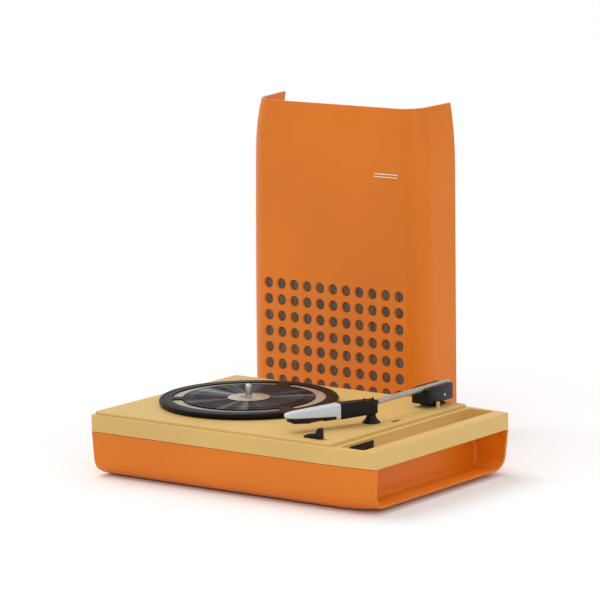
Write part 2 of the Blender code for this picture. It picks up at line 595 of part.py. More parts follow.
def lid_frame(root):
    """Axes of the lid: X along its length and up, Y across it, Z from grille to open side."""
    across = Vector((math.cos(LID_YAW), math.sin(LID_YAW), 0))
    inward = Vector((-math.sin(LID_YAW), math.cos(LID_YAW), 0))
    turn = Matrix(((0, across.x, inward.x, 0), (0, across.y, inward.y, 0), (1, 0, 0, 0),
                   (0, 0, 0, 1)))
    place = Vector((LID_X, LID_Y, 0)) - inward * LID_DEPTH
    return guide("lid_frame", root, place, turn)


def make_lid(frame):
    middle = LID_FOOT + GAP + HALF_LENGTH
    outer = tray(LID_FORM, -HALF_LENGTH, LID_LENGTH - HALF_LENGTH, 0, LID_DEPTH)
    bmesh.ops.translate(outer, verts=outer.verts, vec=(middle, 0, 0))
    shell = add("lid_shell", outer, "orange_plastic", frame)
    hollow = tray(LID_FORM, -HALF_LENGTH, HALF_LENGTH + OVER, 0, LID_DEPTH, WALL, OVER)
    bmesh.ops.translate(hollow, verts=hollow.verts, vec=(middle, 0, 0))
    cut(shell, hollow, "hollow")
    holes = bmesh.new()
    for row in range(HOLE_ROWS):
        for column in range(HOLE_COLUMNS):
            x = HOLE_TOP_ROW - row * HOLE_PITCH
            y = (column - (HOLE_COLUMNS - 1) / 2) * HOLE_PITCH
            place = Matrix.Translation((x, y, WALL / 2))
            bmesh.ops.create_cone(holes, cap_ends=True, segments=12, radius1=HOLE_RADIUS,
                                  radius2=HOLE_RADIUS, depth=3 * WALL, matrix=place)
    cut(shell, holes, "grille")
    bottom_row = HOLE_TOP_ROW - (HOLE_ROWS - 1) * HOLE_PITCH
    add("grille_cloth", block(bottom_row - CLOTH_MARGIN, HOLE_TOP_ROW + CLOTH_MARGIN, -CLOTH_HALF, CLOTH_HALF,
                              WALL + GAP, BAFFLE_NEAR - GAP), "brown_cloth", frame)
    baffle = add("speaker_baffle", block(bottom_row - BAFFLE_MARGIN, HOLE_TOP_ROW + BAFFLE_MARGIN,
                                         -BAFFLE_HALF, BAFFLE_HALF, BAFFLE_NEAR, BAFFLE_FAR), "hardboard", frame)
    centre = (SPEAKER_HEIGHT, 0)
    cut(baffle, disc(CONE_OPENING, 0, 20, centre, 32), "speaker_opening")
    seat = BAFFLE_FAR + GAP
    basket = turned([(CONE_OPENING, seat), (BASKET_RADIUS, seat), (BASKET_RADIUS, 12.2), (53.0, 12.4),
                     (30.0, 32.0), (17.0, 32.0), (17.0, 30.8), (29.4, 30.8), (51.4, 12.0)], 32, centre)
    add("speaker_basket", basket, "steel", frame, True)
    cone = turned([(50.6, 11.2), (13.0, 27.0), (0, 27.0), (0, 26.0), (12.6, 26.0), (50.0, 10.2)], 32, centre)
    add("speaker_cone", cone, "paper", frame, True)
    rim = MAGNET_RADIUS - 1
    add("speaker_magnet", turned([(0, 32.3), (rim, 32.3), (MAGNET_RADIUS, 33.3), (MAGNET_RADIUS, 44.0),
                                  (rim, 45.0), (0, 45.0)], 28, centre), "steel", frame, True)
    for number in range(SPEAKER_SCREWS):
        angle = math.radians(45 + 360 / SPEAKER_SCREWS * number)
        place = (SPEAKER_HEIGHT + SPEAKER_SCREW_CIRCLE * math.cos(angle), SPEAKER_SCREW_CIRCLE * math.sin(angle))
        screw = turned([(0, 12.6), (3.0, 12.6), (3.0, 13.6), (1.8, 14.6), (0, 14.6)], 12, place)
        add(f"speaker_screw_{number + 1}", screw, "steel", frame, True)
    for side, y in LID_FOOT_Y.items():
        strip = block(0, LID_FOOT, y - 5, y + 5, 14, LID_DEPTH - 5)
        add(f"lid_foot_{side}", strip, "black_rubber", frame)
    badge = rounded(block(276.5, 281.5, 60, 92, -0.9, -GAP), 0.2, 1)
    add("lid_badge", badge, "white_paint", frame)
    socket = ring(5.0, 8.0, WALL + GAP, 16.0, (200, 80), 20)
    add("lid_socket", socket, "black_plastic", frame, True)


def main():
    clear_scene()
    root = guide("player_root", None, (-BOX_X, -BOX_Y, 0))
    platter = guide("platter_axis", root, (PLATTER_X, PLATTER_Y, 0))
    idler = guide("idler_axis", root, (IDLER_X, IDLER_Y, 0))
    rotor = guide("motor_axis", root, (PULLEY_X, PULLEY_Y, 0))
    turret = guide("arm_swing_axis", root, (PIVOT_X, PIVOT_Y, 0))
    arm = guide("arm_lift_axis", root, (PIVOT_X, PIN_Y, PIN_Z))
    head = guide("head_frame", arm, (TUBE_X - PIVOT_X, ELBOW_Y - PIN_Y, -PIN_Z), Matrix.Rotation(HEAD_ANGLE, 4, "Z"))
    lever = guide("lever_guide", root, (LEVER_X, LEVER_Y, 0))
    wheels = {name: guide(f"{name}_axis", root, (WHEEL_X, y, 0)) for name, y in WHEEL_Y.items()}
    make_case(root)
    make_deck(root)
    make_fixings(root)
    make_drive(root, platter, idler, rotor)
    make_tone_arm(root, turret, arm, head)
    make_deck_pieces(root, lever, wheels)
    make_electrics(root)
    make_lid(lid_frame(root))


main()
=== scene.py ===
# %% [markdown]
# # A portable record player and its loudspeaker lid
# The player is a flat orange tray with a cream deck. A lid of the same shape lifts off, holds the
# loudspeaker, and stands on end behind. The working model is already made; this lesson gives it
# its looks: smooth mouldings, rubber, lacquer, chrome and cloth, each as its own piece.

# %% Start from the working model
import json
import math

import bmesh
import bpy
from mathutils import Matrix, Vector


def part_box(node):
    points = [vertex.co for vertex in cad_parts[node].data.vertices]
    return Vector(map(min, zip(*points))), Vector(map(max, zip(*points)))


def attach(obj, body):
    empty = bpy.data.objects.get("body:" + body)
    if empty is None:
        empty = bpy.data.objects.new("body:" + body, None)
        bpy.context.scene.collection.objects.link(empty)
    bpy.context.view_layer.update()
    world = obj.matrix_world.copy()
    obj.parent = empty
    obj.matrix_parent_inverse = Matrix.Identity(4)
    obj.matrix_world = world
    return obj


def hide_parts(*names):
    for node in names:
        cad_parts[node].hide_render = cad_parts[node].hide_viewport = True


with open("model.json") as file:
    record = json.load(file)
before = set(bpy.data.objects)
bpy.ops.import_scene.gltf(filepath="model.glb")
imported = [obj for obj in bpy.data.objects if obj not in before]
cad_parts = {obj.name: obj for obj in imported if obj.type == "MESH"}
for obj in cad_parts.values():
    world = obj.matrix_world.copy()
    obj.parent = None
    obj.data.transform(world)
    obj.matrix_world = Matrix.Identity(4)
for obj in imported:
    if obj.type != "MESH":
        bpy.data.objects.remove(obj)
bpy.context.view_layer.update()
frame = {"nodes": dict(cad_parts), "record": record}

# %% [markdown]
# Each group of pieces is easiest to draw in its own axes, in millimetres. The player's axes sit on
# the floor under its middle. The lid's run up its length, across it, and from grille to open side.
# The arm's head has axes of its own too, because it is turned away from the tube.

# %% Axes for the player, the lid and the arm's head
MM = 0.001


def middle_of(node):
    low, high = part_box(node)
    return (Vector(low) + Vector(high)) / 2


case_low, case_high = (Vector(corner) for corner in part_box("case_shell"))
deck_low, deck_high = (Vector(corner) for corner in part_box("deck_moulding"))
player_middle = (deck_low + deck_high) / 2
player_middle.z = 0.0
PLAYER = Matrix.Translation(player_middle) @ Matrix.Scale(MM, 4)

LENGTH = (deck_high.x - deck_low.x) / MM
WIDTH = (deck_high.y - deck_low.y) / MM
HALF_LENGTH, HALF_WIDTH = LENGTH / 2, WIDTH / 2
CASE_BOTTOM, CASE_TOP = case_low.z / MM, case_high.z / MM

LID_DEPTH = 63.7
LID_OPEN_SIDE = Vector((-134.8, 311.8, 0))
across = (middle_of("lid_foot_right") - middle_of("lid_foot_left")).normalized()
inward = Vector((-across.y, across.x, 0))
lid_axes = Matrix(((0, across.x, inward.x), (0, across.y, inward.y), (1, 0, 0))).to_4x4()
LID = PLAYER @ Matrix.Translation(LID_OPEN_SIDE - inward * LID_DEPTH) @ lid_axes

HEAD_ANGLE = math.radians(245.5)
ELBOW_X, ELBOW_Y = 99.7, -7.0
HEAD = PLAYER @ Matrix.Translation((ELBOW_X, ELBOW_Y, 0)) @ Matrix.Rotation(HEAD_ANGLE, 4, "Z")
print("player", round(LENGTH), "x", round(WIDTH), "mm, lid turned",
      round(math.degrees(math.atan2(across.y, across.x)), 2), "degrees")

# %% [markdown]
# The camera stands off to the front right, a little above the lid's top, with a long lens, so that
# upright edges stay almost parallel. The aim is near the middle of player and lid together.

# %% Camera
CAMERA_PLACE = Vector((2037.7, -2744.3, 751.0))
CAMERA_HEADING = math.radians(36.57)
CAMERA_DIP = math.radians(9.447)
CAMERA_ROLL = math.radians(-0.78)
CAMERA_LENS, CAMERA_SENSOR = 203.0, 36.0
CAMERA_REACH = 50.0

camera_data = bpy.data.cameras.new("studio_camera")
camera_data.lens = CAMERA_LENS
camera_data.sensor_width = CAMERA_SENSOR
camera_data.clip_end = CAMERA_REACH
camera = bpy.data.objects.new("studio_camera", camera_data)
bpy.context.scene.collection.objects.link(camera)
turn = (Matrix.Rotation(CAMERA_HEADING, 4, "Z")
        @ Matrix.Rotation(math.pi / 2 - CAMERA_DIP, 4, "X")
        @ Matrix.Rotation(CAMERA_ROLL, 4, "Z"))
camera.matrix_world = Matrix.Translation(PLAYER @ CAMERA_PLACE) @ turn
bpy.context.scene.camera = camera
print("camera", [round(value, 3) for value in camera.location])

# %% [markdown]
# ## Finishes
# A finish is a small graph of nodes. Written as sums and products it reads like the recipe it is,
# so one class wraps a socket and turns Python's operators into Math nodes. Its `node` method makes
# any other node: first its settings, then its sockets.

# %% Shader arithmetic
MIX_FACTOR, MIX_START, MIX_END, MIX_RESULT = 0, 6, 7, 2


class Signal:
    """One output socket of a material's graph."""

    def __init__(self, tree, socket=None):
        self.tree = tree
        self.socket = socket

    def plug(self, target, value):
        if isinstance(value, Signal):
            self.tree.links.new(value.socket, target)
        else:
            target.default_value = value

    def node(self, kind, settings=None, sockets=None, output=0):
        made = self.tree.nodes.new("ShaderNode" + kind)
        for key, value in (settings or {}).items():
            setattr(made, key, value)
        for key, value in (sockets or {}).items():
            self.plug(made.inputs[key], value)
        return Signal(self.tree, made.outputs[output])

    def math(self, operation, *others):
        values = dict(enumerate((self, *others)))
        return self.node("Math", {"operation": operation}, values)

    def __add__(self, other):
        return self.math("ADD", other)

    def __mul__(self, other):
        return self.math("MULTIPLY", other)

    def __sub__(self, other):
        return self.math("SUBTRACT", other)

    def __rsub__(self, other):
        return (self * -1.0) + other

    __radd__ = __add__
    __rmul__ = __mul__

    def between(self, low, high):
        """0 below low, 1 above high, and a smooth step from one to the other."""
        settings = {"interpolation_type": "SMOOTHSTEP"}
        return self.node("MapRange", settings, {"Value": self, "From Min": low, "From Max": high})

    def blend(self, start, end):
        """A colour that goes from start to end as this signal goes from 0 to 1."""
        colours = {MIX_FACTOR: self, MIX_START: start, MIX_END: end}
        return self.node("Mix", {"data_type": "RGBA"}, colours, MIX_RESULT)


print("a signal can be added, multiplied, stepped and blended")

# %% [markdown]
# The recipes below share a few words: a colour, a shade of it, a new material with
# its fixed values set on the shader, noise, the place on the object, and a bump.

# %% Words that the recipes share
def linear(red, green, blue):
    """A colour given 0 to 255, as the shader's linear values."""
    def straight(value):
        value = value / 255
        return value / 12.92 if value <= 0.04045 else ((value + 0.055) / 1.055) ** 2.4
    return (straight(red), straight(green), straight(blue), 1.0)


def shade(colour, factor):
    return (*(min(1.0, channel * factor) for channel in colour[:3]), 1.0)


OBJECT_PLACE = 3


def new_finish(name, **fixed):
    """A material, its graph, the place on the object, and a way to connect the shader."""
    material = bpy.data.materials.new(name)
    material.use_nodes = True
    tree = material.node_tree
    shader = tree.nodes["Principled BSDF"]
    for key, value in fixed.items():
        shader.inputs[key.replace("_", " ")].default_value = value
    graph = Signal(tree)

    def connect(key, value):
        graph.plug(shader.inputs[key], value)
    return material, graph, graph.node("TexCoord", output=OBJECT_PLACE), connect


def noise(graph, where, scale, detail=3.0, roughness=0.5):
    return graph.node("TexNoise", None, {"Vector": where, "Scale": scale, "Detail": detail,
                                         "Roughness": roughness})


def bump(graph, height, depth, strength=1.0):
    return graph.node("Bump", None, {"Height": height, "Distance": depth, "Strength": strength})


print("shader tools ready")

# %% [markdown]
# ### Moulded plastic
# Case, lid and deck are injection mouldings with a satin skin. Up close there is a faint grain.
# Broad clouds shift the colour a little with age, handling leaves patches that shine more or less,
# and long fine scratches catch the light. The same recipe serves every plastic piece.

# %% Moulded plastic
GRAIN_SCALE = 1500.0
CLOUD_SCALE = 7.0
HANDLING_SCALE = 38.0


def scratches(graph, where, angle, amount):
    """Long thin marks: noise drawn out along one direction, of which only the crests show."""
    turned_place = graph.node("Mapping", None, {
        "Vector": where, "Rotation": (0.4, angle, angle), "Scale": (9.0, 520.0, 9.0)})
    marks = noise(graph, turned_place, 1.0, 2.0, 0.4).between(0.70, 0.76)
    patches = noise(graph, where, 14.0, 2.0).between(0.5, 0.62)
    return marks * patches * amount


def moulded_plastic(name, colour, roughness, grain=1.0, wear=1.0, gloss=0.3):
    material, graph, where, connect = new_finish(name, Specular_IOR_Level=gloss)
    clouds = noise(graph, where, CLOUD_SCALE, 3.0).between(0.3, 0.7)
    handling = noise(graph, where, HANDLING_SCALE, 5.0, 0.6)
    marks = scratches(graph, where, 0.7, 0.5 * wear) + scratches(graph, where, 2.1, 0.35 * wear)
    tinted = clouds.blend(shade(colour, 0.95), shade(colour, 1.04))
    connect("Base Color", marks.blend(tinted, shade(colour, 1.35)))
    connect("Roughness", handling * 0.12 + marks * 0.2 + (roughness - 0.06))
    skin = noise(graph, where, GRAIN_SCALE, 2.0) * grain
    waves = noise(graph, where, 24.0, 1.0)
    connect("Normal", bump(graph, skin * 0.05 + waves * 0.9 - marks * 0.4, 0.0006, 0.35))
    return material


ORANGE = linear(222, 119, 17)
CREAM = linear(214, 178, 106)
BLACK = linear(17, 17, 19)
SILVER = linear(198, 207, 214)
RED = linear(160, 20, 22)
WHITE = linear(236, 230, 222)
LAMINATE = linear(140, 96, 44)
finishes = {
    "case_orange": moulded_plastic("satin_orange_plastic", ORANGE, 0.4),
    "deck_cream": moulded_plastic("satin_cream_plastic", CREAM, 0.46),
    "black_plastic": moulded_plastic("black_moulding", BLACK, 0.38, 1.4, 0.5, 0.2),
    "head_silver": moulded_plastic("silver_white_head", SILVER, 0.3, 0.5, 0.4, 0.5),
    "stylus_red": moulded_plastic("red_stylus_holder", RED, 0.3, 0.5, 0.2, 0.5),
    "badge_white": moulded_plastic("white_print", WHITE, 0.4, 0.4, 0.3),
    "circuit_board": moulded_plastic("laminate_board", LAMINATE, 0.5, 1.0, 0.3),
}
print("moulded finishes", len(finishes))

# %% [markdown]
# ### Rubber mat
# The mat's middle is ribbed with fine rings. Rings in the bump alone would look flat, so
# anisotropy also draws the highlight out round the middle. Paler sweeps that run out from the
# spindle are a painted highlight: streaks of light painted into the mat's colour.

# %% Rubber
PLATTER_MIDDLE = middle_of("platter")
RING_PITCH = 0.0011
RIBBED_RADIUS = 0.0685


def round_the_platter(graph, where):
    """The level offset from the spindle, and its length."""
    offset = graph.node("VectorMath", {"operation": "SUBTRACT"}, {0: where, 1: PLATTER_MIDDLE})
    flat = graph.node("VectorMath", {"operation": "MULTIPLY"}, {0: offset, 1: (1.0, 1.0, 0.0)})
    return flat, graph.node("VectorMath", {"operation": "LENGTH"}, {0: flat}, output=1)


def ribbed_rubber():
    material, graph, where, connect = new_finish("ribbed_rubber", Anisotropic=0.5,
                                                 Specular_IOR_Level=0.13)
    flat, radius = round_the_platter(graph, where)
    ribbed = 1.0 - radius.between(RIBBED_RADIUS - 0.0005, RIBBED_RADIUS)
    rings = (radius * (2 * math.pi / RING_PITCH)).math("SINE")
    heading = graph.node("VectorMath", {"operation": "NORMALIZE"}, {0: flat})
    # Painted highlight: pale sweeps out from the spindle, blended into the colour as streaks of
    # light on the gloss.
    spokes = noise(graph, heading, 2.3, 2.0, 0.4).between(0.47, 0.72) * ribbed
    fine = noise(graph, heading, 22.0, 3.0, 0.6)
    painted_sweep_highlight = spokes * (fine * 0.6 + 0.7)
    dust = noise(graph, where, 60.0, 5.0, 0.65).between(0.45, 0.8)
    specks = noise(graph, where, 900.0, 2.0).between(0.68, 0.75)
    tint = (dust * 0.3 + specks * 0.3).blend(linear(9, 10, 13), linear(26, 27, 30))
    # The pale grey is the painted highlight of those sweeps.
    connect("Base Color", painted_sweep_highlight.blend(tint, linear(136, 142, 152)))
    connect("Roughness", 0.36 + ribbed * 0.1 + dust * 0.1)
    connect("Normal", bump(graph, rings * ribbed, 0.00012, 0.5))
    return material


def plain_rubber():
    material, graph, where, connect = new_finish("foot_rubber")
    dust = noise(graph, where, 80.0, 5.0, 0.6).between(0.4, 0.8)
    connect("Base Color", dust.blend(linear(20, 20, 20), linear(48, 46, 44)))
    connect("Roughness", dust * 0.15 + 0.62)
    connect("Normal", bump(graph, noise(graph, where, 900.0), 0.0002, 0.4))
    return material


finishes["mat_rubber"] = ribbed_rubber()
finishes["foot_rubber"] = plain_rubber()
print("rubber rings every", RING_PITCH / MM, "mm")

# %% [markdown]
# ### Metals
# Turned and rolled metal keeps the marks of its making as fine parallel lines. They go into the
# roughness and a shallow bump. The arm's tube is lacquered, so it is only partly metallic.

# %% Metals
def drawn_metal(name, colour, roughness, metallic, stretch, depth):
    material, graph, where, connect = new_finish(name, Metallic=metallic)
    stretched = graph.node("Mapping", None, {"Vector": where, "Scale": stretch})
    lines = noise(graph, stretched, 1.0, 4.0)
    stains = noise(graph, where, 45.0, 4.0, 0.6).between(0.35, 0.75)
    connect("Base Color", stains.blend(colour, shade(colour, 0.86)))
    connect("Roughness", lines * 0.16 + stains * 0.08 + (roughness - 0.1))
    connect("Normal", bump(graph, lines, depth, 0.35))
    return material


ALONG_Y = (2500.0, 60.0, 2500.0)
ROUND_Z = (300.0, 300.0, 3500.0)
for slot, name, colour, roughness, metallic, stretch, depth in (
        ("chrome", "polished_chrome", linear(205, 205, 208), 0.2, 1.0, ROUND_Z, 0.000004),
        ("steel", "zinc_plated_steel", linear(176, 176, 172), 0.36, 1.0, ALONG_Y, 0.00006),
        ("brass", "turned_brass", linear(200, 168, 96), 0.3, 1.0, ROUND_Z, 0.00005),
        ("tube_silver", "grey_lacquered_tube", linear(184, 179, 170), 0.36, 0.55, ALONG_Y,
         0.00004)):
    finishes[slot] = drawn_metal(name, colour, roughness, metallic, stretch, depth)


def spun_metal():
    """Lacquered disc metal: fine turning rings in the bump, and a highlight drawn out round Z."""
    material, graph, where, connect = new_finish("spun_disc_metal", Metallic=0.5, Anisotropic=0.5)
    _, radius = round_the_platter(graph, where)
    rings = noise(graph, graph.node("CombineXYZ", None, {"X": radius * 1900.0}), 1.0, 2.0)
    film = noise(graph, where, 60.0, 4.0).between(0.35, 0.75)
    connect("Base Color", film.blend(linear(190, 178, 158), linear(172, 158, 136)))
    connect("Roughness", film * 0.08 + rings * 0.1 + 0.3)
    connect("Normal", bump(graph, rings, 0.00005, 0.4))
    return material


finishes["platter_metal"] = spun_metal()
print("with the metals there are", len(finishes), "finishes")

# %% [markdown]
# ### Cloth, board and paper
# The loudspeaker cloth is a plain weave of brown and grey threads. Two crossed sine waves make the
# over and under of the threads. The baffle is hardboard, with short fibres pressed flat.

# %% Cloth, board and paper
THREAD_PITCH = 0.0009


def woven_cloth():
    material, graph, where, connect = new_finish("loudspeaker_cloth", Sheen_Weight=0.3)
    sideways = graph.node("SeparateXYZ", None, {"Vector": where})
    height = Signal(graph.tree, sideways.socket.node.outputs["Z"])
    warp = (sideways * (2 * math.pi / THREAD_PITCH)).math("SINE")
    weft = (height * (2 * math.pi / THREAD_PITCH)).math("SINE")
    weave = warp * weft
    drawn_up = graph.node("Mapping", None, {"Vector": where, "Scale": (900.0, 900.0, 40.0)})
    slubs = noise(graph, drawn_up, 1.0, 2.0).between(0.4, 0.65)
    dust = noise(graph, where, 25.0, 3.0)
    colour = slubs.blend(linear(86, 70, 54), linear(128, 112, 92))
    connect("Base Color", (weave * 0.25 + dust * 0.3).blend(colour, linear(60, 50, 40)))
    connect("Roughness", 0.85 + weave * 0.05)
    connect("Normal", bump(graph, weave + slubs * 0.5, 0.00025, 0.8))
    return material


def pressed_fibre(name, dark, light, scale, roughness):
    material, graph, where, connect = new_finish(name)
    fibres = noise(graph, where, scale, 6.0, 0.7)
    pressed = graph.node("Mapping", None, {"Vector": where, "Scale": (300.0, 60.0, 700.0)})
    flecks = noise(graph, pressed, 1.0, 3.0).between(0.5, 0.7)
    connect("Base Color", (fibres * 0.6 + flecks * 0.4).blend(dark, light))
    connect("Roughness", fibres * 0.1 + roughness)
    connect("Normal", bump(graph, fibres + flecks * 0.4, 0.0003, 0.5))
    return material


finishes["grille_cloth"] = woven_cloth()
finishes["hardboard"] = pressed_fibre("hardboard", linear(84, 54, 32), linear(140, 98, 62),
                                      160.0, 0.75)
finishes["speaker_paper"] = pressed_fibre("pressed_paper", linear(30, 28, 26),
                                          linear(64, 60, 55), 420.0, 0.85)
for entry in frame["record"]["subparts"]:
    node = frame["nodes"][entry["node"]]
    node.data.materials.clear()
    node.data.materials.append(finishes[entry["material_slot"]])
print("every working node now has one of", len(finishes), "finishes")

# %% [markdown]
# ## Shaping tools
# Most pieces are one of three things: a profile turned round an axis, a row of outlines skinned
# into a solid, or an outline pushed into a slab. Edges of real mouldings are never knife sharp,
# so each one is rounded in its profile, or gets a small bevel that catches the light.

# %% Placing, carving and softening
CUT_SHARP, BEVEL_SHARP = math.radians(35.0), math.radians(50.0)


def smooth(mesh, sharp_from=CUT_SHARP):
    mesh.shade_smooth()
    mesh.set_sharp_from_angle(angle=sharp_from)


def new_piece(name, bm, axes, finish, body):
    """Put a bmesh drawn in its own axes into the scene as a piece that rides on a body."""
    bmesh.ops.transform(bm, matrix=axes, verts=bm.verts)
    bmesh.ops.recalc_face_normals(bm, faces=bm.faces)
    mesh = bpy.data.meshes.new(name)
    bm.to_mesh(mesh)
    bm.free()
    smooth(mesh)
    piece = bpy.data.objects.new(name, mesh)
    bpy.context.scene.collection.objects.link(piece)
    if finish:
        mesh.materials.append(finishes[finish])
    if body:
        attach(piece, body)
    return piece


def apply_modifiers(piece):
    """Give a piece the mesh that its modifiers make, and take the modifiers away."""
    bpy.context.view_layer.update()
    ready = piece.evaluated_get(bpy.context.evaluated_depsgraph_get())
    mesh = bpy.data.meshes.new_from_object(ready)
    piece.modifiers.clear()
    piece.data = mesh


def carve(piece, tool_bm, axes, operation="DIFFERENCE"):
    """Cut a tool from a piece, or join it on, and throw the tool away."""
    tool = new_piece("tool", tool_bm, axes, None, None)
    step = piece.modifiers.new("carve", "BOOLEAN")
    step.operation = operation
    step.solver = "EXACT"
    step.object = tool
    apply_modifiers(piece)
    smooth(piece.data)
    bpy.data.objects.remove(tool)


def soften(piece, width, segments=3, angle=40.0):
    """Bevel the edges that bend by more than the angle."""
    step = piece.modifiers.new("soften", "BEVEL")
    step.width = width * MM
    step.segments = segments
    step.limit_method = "ANGLE"
    step.angle_limit = math.radians(angle)
    apply_modifiers(piece)
    smooth(piece.data, BEVEL_SHARP)


def even_normals(piece):
    """Let large flat faces keep their own normal, so that only small ones are shaded round."""
    step = piece.modifiers.new("even", "WEIGHTED_NORMAL")
    step.keep_sharp = True
    apply_modifiers(piece)


print("pieces can be placed, carved, softened and shaded")

# %% [markdown]
# These tools draw a bmesh, which is a mesh that is still being made. `turned` spins a profile
# about Z, `skinned` joins outlines, `slab` pushes one through, and `gathered` collects several.

# %% Turning, skinning and pushing
def turned(profile, segments=64, centre=(0.0, 0.0), outline=None):
    """Spin a (radius, height) profile. An outline(angle) may push the radius in and out."""
    bm = bmesh.new()
    rows = []
    for radius, height in profile:
        if radius == 0:
            rows.append([bm.verts.new((*centre, height))])
            continue
        row = []
        for i in range(segments):
            angle = 2 * math.pi * i / segments
            reach = radius + (outline(angle, radius) if outline else 0.0)
            row.append(bm.verts.new((centre[0] + reach * math.cos(angle),
                                     centre[1] + reach * math.sin(angle), height)))
        rows.append(row)
    pairs = list(zip(rows, rows[1:]))
    if profile[0][0] != 0:
        pairs.append((rows[-1], rows[0]))
    for low, high in pairs:
        for i in range(segments):
            j = (i + 1) % segments
            corners = [low[i % len(low)], low[j % len(low)],
                       high[j % len(high)], high[i % len(high)]]
            face = [vert for n, vert in enumerate(corners) if vert not in corners[:n]]
            if len(face) > 2:
                bm.faces.new(face)
    return bm


def drill(radius, low, high, x, y, segments=48):
    """A plain upright cylinder, solid to the middle."""
    return turned([(0, low), (radius, low), (radius, high), (0, high)], segments, (x, y))


def skinned(outlines, one_face_ends=False):
    """Join equal outlines one to the next, and close both ends with one face or with strips."""
    bm = bmesh.new()
    rows = [[bm.verts.new(point) for point in outline] for outline in outlines]
    count = len(rows[0])
    for low, high in zip(rows, rows[1:]):
        for i in range(count):
            j = (i + 1) % count
            bm.faces.new((low[i], low[j], high[j], high[i]))
    for row in (rows[0], rows[-1]):
        if one_face_ends:
            bm.faces.new(row)
            continue
        for i in range(count // 2 - 1):
            bm.faces.new((row[i], row[i + 1], row[count - 2 - i], row[count - 1 - i]))
    return bm


def box(x0, x1, y0, y1, z0, z1, radius=0.0, segments=4):
    bm = bmesh.new()
    bmesh.ops.create_cube(bm, size=1.0)
    for vert in bm.verts:
        x, y, z = vert.co
        vert.co = (x1 if x > 0 else x0, y1 if y > 0 else y0, z1 if z > 0 else z0)
    if radius:
        bmesh.ops.bevel(bm, geom=bm.edges[:], offset=radius, segments=segments, profile=0.5,
                        affect="EDGES")
    return bm


def upright_rounded(x0, x1, y0, y1, z0, z1, radius, segments=6):
    """A box whose four upright edges only are round."""
    bm = box(x0, x1, y0, y1, z0, z1)
    upright = [edge for edge in bm.edges if edge.verts[0].co.z != edge.verts[1].co.z]
    bmesh.ops.bevel(bm, geom=upright, offset=radius, segments=segments, profile=0.5,
                    affect="EDGES")
    return bm


def slab(outline, low, high):
    """Push a flat (x, z) outline through from y = low to y = high."""
    bm = bmesh.new()
    face = bm.faces.new([bm.verts.new((x, low, z)) for x, z in outline])
    pushed = bmesh.ops.extrude_face_region(bm, geom=[face])
    moved = [item for item in pushed["geom"] if isinstance(item, bmesh.types.BMVert)]
    bmesh.ops.translate(bm, verts=moved, vec=(0, high - low, 0))
    return bm


def gathered(parts):
    whole = bmesh.new()
    for part in parts:
        mesh = bpy.data.meshes.new("part")
        part.to_mesh(mesh)
        part.free()
        whole.from_mesh(mesh)
        bpy.data.meshes.remove(mesh)
    return whole


print("shaping tools ready")

# %% [markdown]
# ## The two trays
# Player and lid are the same tray: straight sides that lean a little and close in towards the
# handle end, round long edges, and a floor that lifts towards that end. A stack of outlines, from
# floor to rim, gives it: each outline is the plan at one level.

# %% Tray outlines
NARROWING_RUN, RISE_RUN = 70.0, 45.0
CARRY_ON = 1.2
WALL = 3.0
PLAN_CORNER = 3.0
CORNER_STEPS, SIDE_STEPS, LONG_STEPS, FOOT_STEPS, RIM_STEPS = 6, 16, 10, 12, 4
RIM_ROUND = 0.8
BULKHEAD_SLOPE = 6.0
CASE_FORM = {"side_radius": 16.0, "end_radius": 9.0, "end_lean": 3.0,
             "lean_growth": 2.5, "narrowing": 5.0, "rise": 4.2, "slant": 3.4}
DRIVE_FORM = {**CASE_FORM, "slant": -BULKHEAD_SLOPE}
BAY_FORM = {**CASE_FORM, "end_radius": 5.0, "end_lean": BULKHEAD_SLOPE, "slant": 0.0}
LID_FORM = {"side_radius": 24.0, "end_radius": 10.0, "end_lean": 0.0,
            "lean_growth": 6.0, "narrowing": 6.5, "rise": 4.8, "slant": 2.9}


def curve_up(amount, x, run):
    """A bend that starts one run before the handle end and reaches its amount there."""
    share = max(0.0, x - (HALF_LENGTH - run)) / run
    return amount * min(share, CARRY_ON) ** 2


def inset_at(height, lean, radius, top):
    if height >= radius:
        return lean * (top - height) / (top - radius)
    return lean + radius - math.sqrt(max(0.0, radius ** 2 - (radius - height) ** 2))


def plan(form, x_left, x_right, side, end, fade, level, corner=PLAN_CORNER):
    """The outline at one level. The fade is 1 at the floor and 0 at the rim."""
    far = x_left + end + corner
    start = max(HALF_LENGTH - NARROWING_RUN, far + 1)
    right = x_right - fade * form["slant"]
    places = [right - (right - start) * i / SIDE_STEPS for i in range(SIDE_STEPS + 1)]
    places += [start - (start - far) * i / LONG_STEPS for i in range(1, LONG_STEPS)]
    half = [(x, HALF_WIDTH - side - curve_up(form["narrowing"], x, NARROWING_RUN)
             - fade * curve_up(form["lean_growth"], x, LENGTH)) for x in places]
    edge = half[-1][1]
    for i in range(CORNER_STEPS + 1):
        angle = math.radians(90 * i / CORNER_STEPS)
        half.append((far - corner * math.sin(angle), edge - corner * (1 - math.cos(angle))))
    front = [(x, -y, level(x)) for x, y in half]
    back = [(x, y, level(x)) for x, y in reversed(half)]
    return front + back


